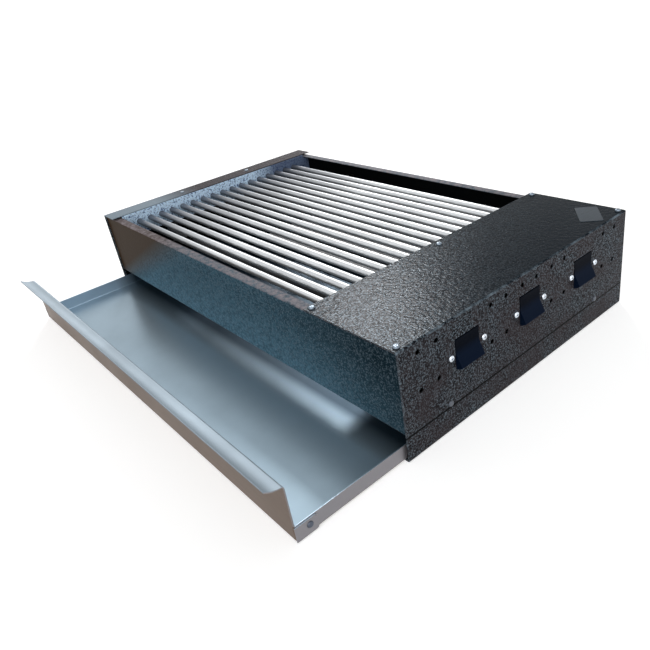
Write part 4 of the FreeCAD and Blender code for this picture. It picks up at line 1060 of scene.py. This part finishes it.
class ROASTER_OT_gland(bpy.types.Operator):
    """Models the rubber cord gland with rounded flanges"""

    bl_idname = "roaster.gland"
    bl_label = "Cord gland"

    def execute(self, context):
        plastics = context.scene.roaster_plastics
        low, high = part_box("cable_gland")
        depth, flange = high.y - low.y, (high.x - low.x) / 2
        neck, brim = plastics.gland_neck, plastics.gland_flange
        gland = cylinder("gland", 48, flange, brim, height=depth / 2 - brim / 2)
        pick(gland, "FACE", lambda face: face.normal.z < -0.9)
        bpy.ops.mesh.inset(thickness=flange - neck)
        push((0.0, 0.0, -(depth - 2 * brim)))
        push((0.0, 0.0, 0.0))
        narrow(flange / neck)
        push((0.0, 0.0, -brim))
        pick(gland, "FACE", lambda face: abs(face.normal.z) > 0.9 and len(face.verts) > 8)
        bpy.ops.mesh.inset(thickness=flange - plastics.gland_bore)
        bpy.ops.mesh.bridge_edge_loops()
        round_off(gland, plastics.gland_edge, segments=3, degrees=50.0)
        gland.data.transform(Matrix.Translation((low + high) / 2) @ facing((0.0, 1.0, 0.0)))
        rubber = moulded("gland_rubber", plastics.rubber, 0.55, 0.75, grain=0.0007, relief=0.00004)
        hand_over(gland, "casing", "cable_gland", "gland_rubber", rubber)
        return {"FINISHED"}


class ROASTER_OT_stage(bpy.types.Operator):
    """Sets the floor, the soft lamps, the plain surroundings and the camera"""

    bl_idname = "roaster.stage"
    bl_label = "Stage"

    def execute(self, context):
        scene = context.scene
        stage = scene.roaster_stage
        self.set_floor(stage)
        self.set_surroundings(scene, stage)
        self.add_lamp(scene, "key_lamp", stage.key, *KEY_LAMP)
        self.add_lamp(scene, "fill_lamp", stage.fill, *FILL_LAMP)
        self.add_camera(scene, stage)
        scene.view_settings.view_transform = "Standard"
        return {"FINISHED"}

    def set_floor(self, stage):
        """A wide pale disc with a raised far edge, lifted to white except under the casing."""
        add = bpy.ops.mesh.primitive_circle_add
        floor = new_piece("floor", add, vertices=96, radius=stage.floor_radius, fill_type="NGON")
        bpy.ops.mesh.select_mode(type="EDGE")
        bpy.ops.mesh.select_all(action="SELECT")
        for out, up in FLOOR_RINGS:
            raise_edges(up)
            grow = 1.0 + out / stage.floor_radius
            bpy.ops.transform.resize(value=(grow, grow, 1.0), center_override=(0.0, 0.0, up))
        clear_selection()
        pale = Look("stage_floor", stage.floor, 0.0, 0.9)
        pale.put("Specular IOR Level", 0.0)
        pale.put("Base Color", pale.blend(pale.noise(0.5), stage.floor, dimmed(stage.floor, 0.985)))
        low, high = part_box("left_runner")[0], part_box("right_runner")[1]
        blur = 0.001
        beneath = pale.both(
            pale.beside("X", low.x, blur, 0, 1), pale.beside("X", high.x, blur, 0, -1),
            pale.beside("Y", low.y, blur, 0, 1), pale.beside("Y", high.y, blur, 0, -1),
        )
        lifted = pale.both(pale.seen_directly(), pale.spread(beneath, 1.0, 0.0))
        pale.put("Emission Color", WHITE)
        pale.put("Emission Strength", pale.spread(lifted, 0.0, stage.lift))
        floor.data.materials.append(pale.material)

    def set_surroundings(self, scene, stage):
        """Plain surroundings that are seen as white and give less light than that."""
        world = bpy.data.worlds.new("surroundings")
        world.use_nodes = True
        nodes = Nodes(world.node_tree)
        background = world.node_tree.nodes["Background"].inputs
        nodes.fill(background["Color"], WHITE)
        nodes.fill(background["Strength"], nodes.spread(nodes.seen_directly(), stage.sky, 1.0))
        scene.world = world

    def add_lamp(self, scene, name, strength, towards, width):
        """A far lamp in a direction, whose disc is so many degrees wide."""
        lamp = bpy.data.lights.new(name, "SUN")
        lamp.energy = strength
        lamp.angle = math.radians(width)
        holder = bpy.data.objects.new(name, lamp)
        scene.collection.objects.link(holder)
        holder.matrix_world = Vector(towards).to_track_quat("Z", "Y").to_matrix().to_4x4()

    def add_camera(self, scene, stage):
        """The camera, above the right front corner."""
        data = bpy.data.cameras.new("camera")
        data.lens = stage.lens
        data.shift_x, data.shift_y = CAMERA_SHIFT
        camera = bpy.data.objects.new("camera", data)
        scene.collection.objects.link(camera)
        camera.location = CAMERA_PLACE
        camera.rotation_euler = [math.radians(turn) for turn in CAMERA_TURN]
        scene.camera = camera


OPERATORS = (
    ROASTER_OT_casing, ROASTER_OT_grill, ROASTER_OT_wiring, ROASTER_OT_fasteners, ROASTER_OT_rockers,
    ROASTER_OT_tray, ROASTER_OT_plate, ROASTER_OT_gland, ROASTER_OT_stage,
)


class ROASTER_PT_panel(bpy.types.Panel):
    """Lists the roaster's sizes, colours and operators"""

    bl_idname = "ROASTER_PT_panel"
    bl_label = "Fish roaster"
    bl_space_type = "VIEW_3D"
    bl_region_type = "UI"
    bl_category = "Roaster"

    def draw(self, context):
        layout = self.layout
        for attribute, group in GROUPS.items():
            box = layout.box()
            box.label(text=group.__doc__.rstrip("."))
            values = getattr(context.scene, attribute)
            for name in group.__annotations__:
                box.prop(values, name)
        for operator in OPERATORS:
            layout.operator(operator.bl_idname)


def register():
    for attribute, group in GROUPS.items():
        bpy.utils.register_class(group)
        setattr(bpy.types.Scene, attribute, PointerProperty(type=group))
    for operator in OPERATORS:
        bpy.utils.register_class(operator)
    bpy.utils.register_class(ROASTER_PT_panel)


def unregister():
    bpy.utils.unregister_class(ROASTER_PT_panel)
    for operator in reversed(OPERATORS):
        bpy.utils.unregister_class(operator)
    for attribute, group in reversed(GROUPS.items()):
        delattr(bpy.types.Scene, attribute)
        bpy.utils.unregister_class(group)


def main():
    register()
    bpy.ops.roaster.casing()
    bpy.ops.roaster.grill()
    bpy.ops.roaster.wiring()
    bpy.ops.roaster.fasteners()
    bpy.ops.roaster.rockers()
    bpy.ops.roaster.tray()
    bpy.ops.roaster.plate()
    bpy.ops.roaster.gland()
    bpy.ops.roaster.stage()


if __name__ == "__main__":
    main()
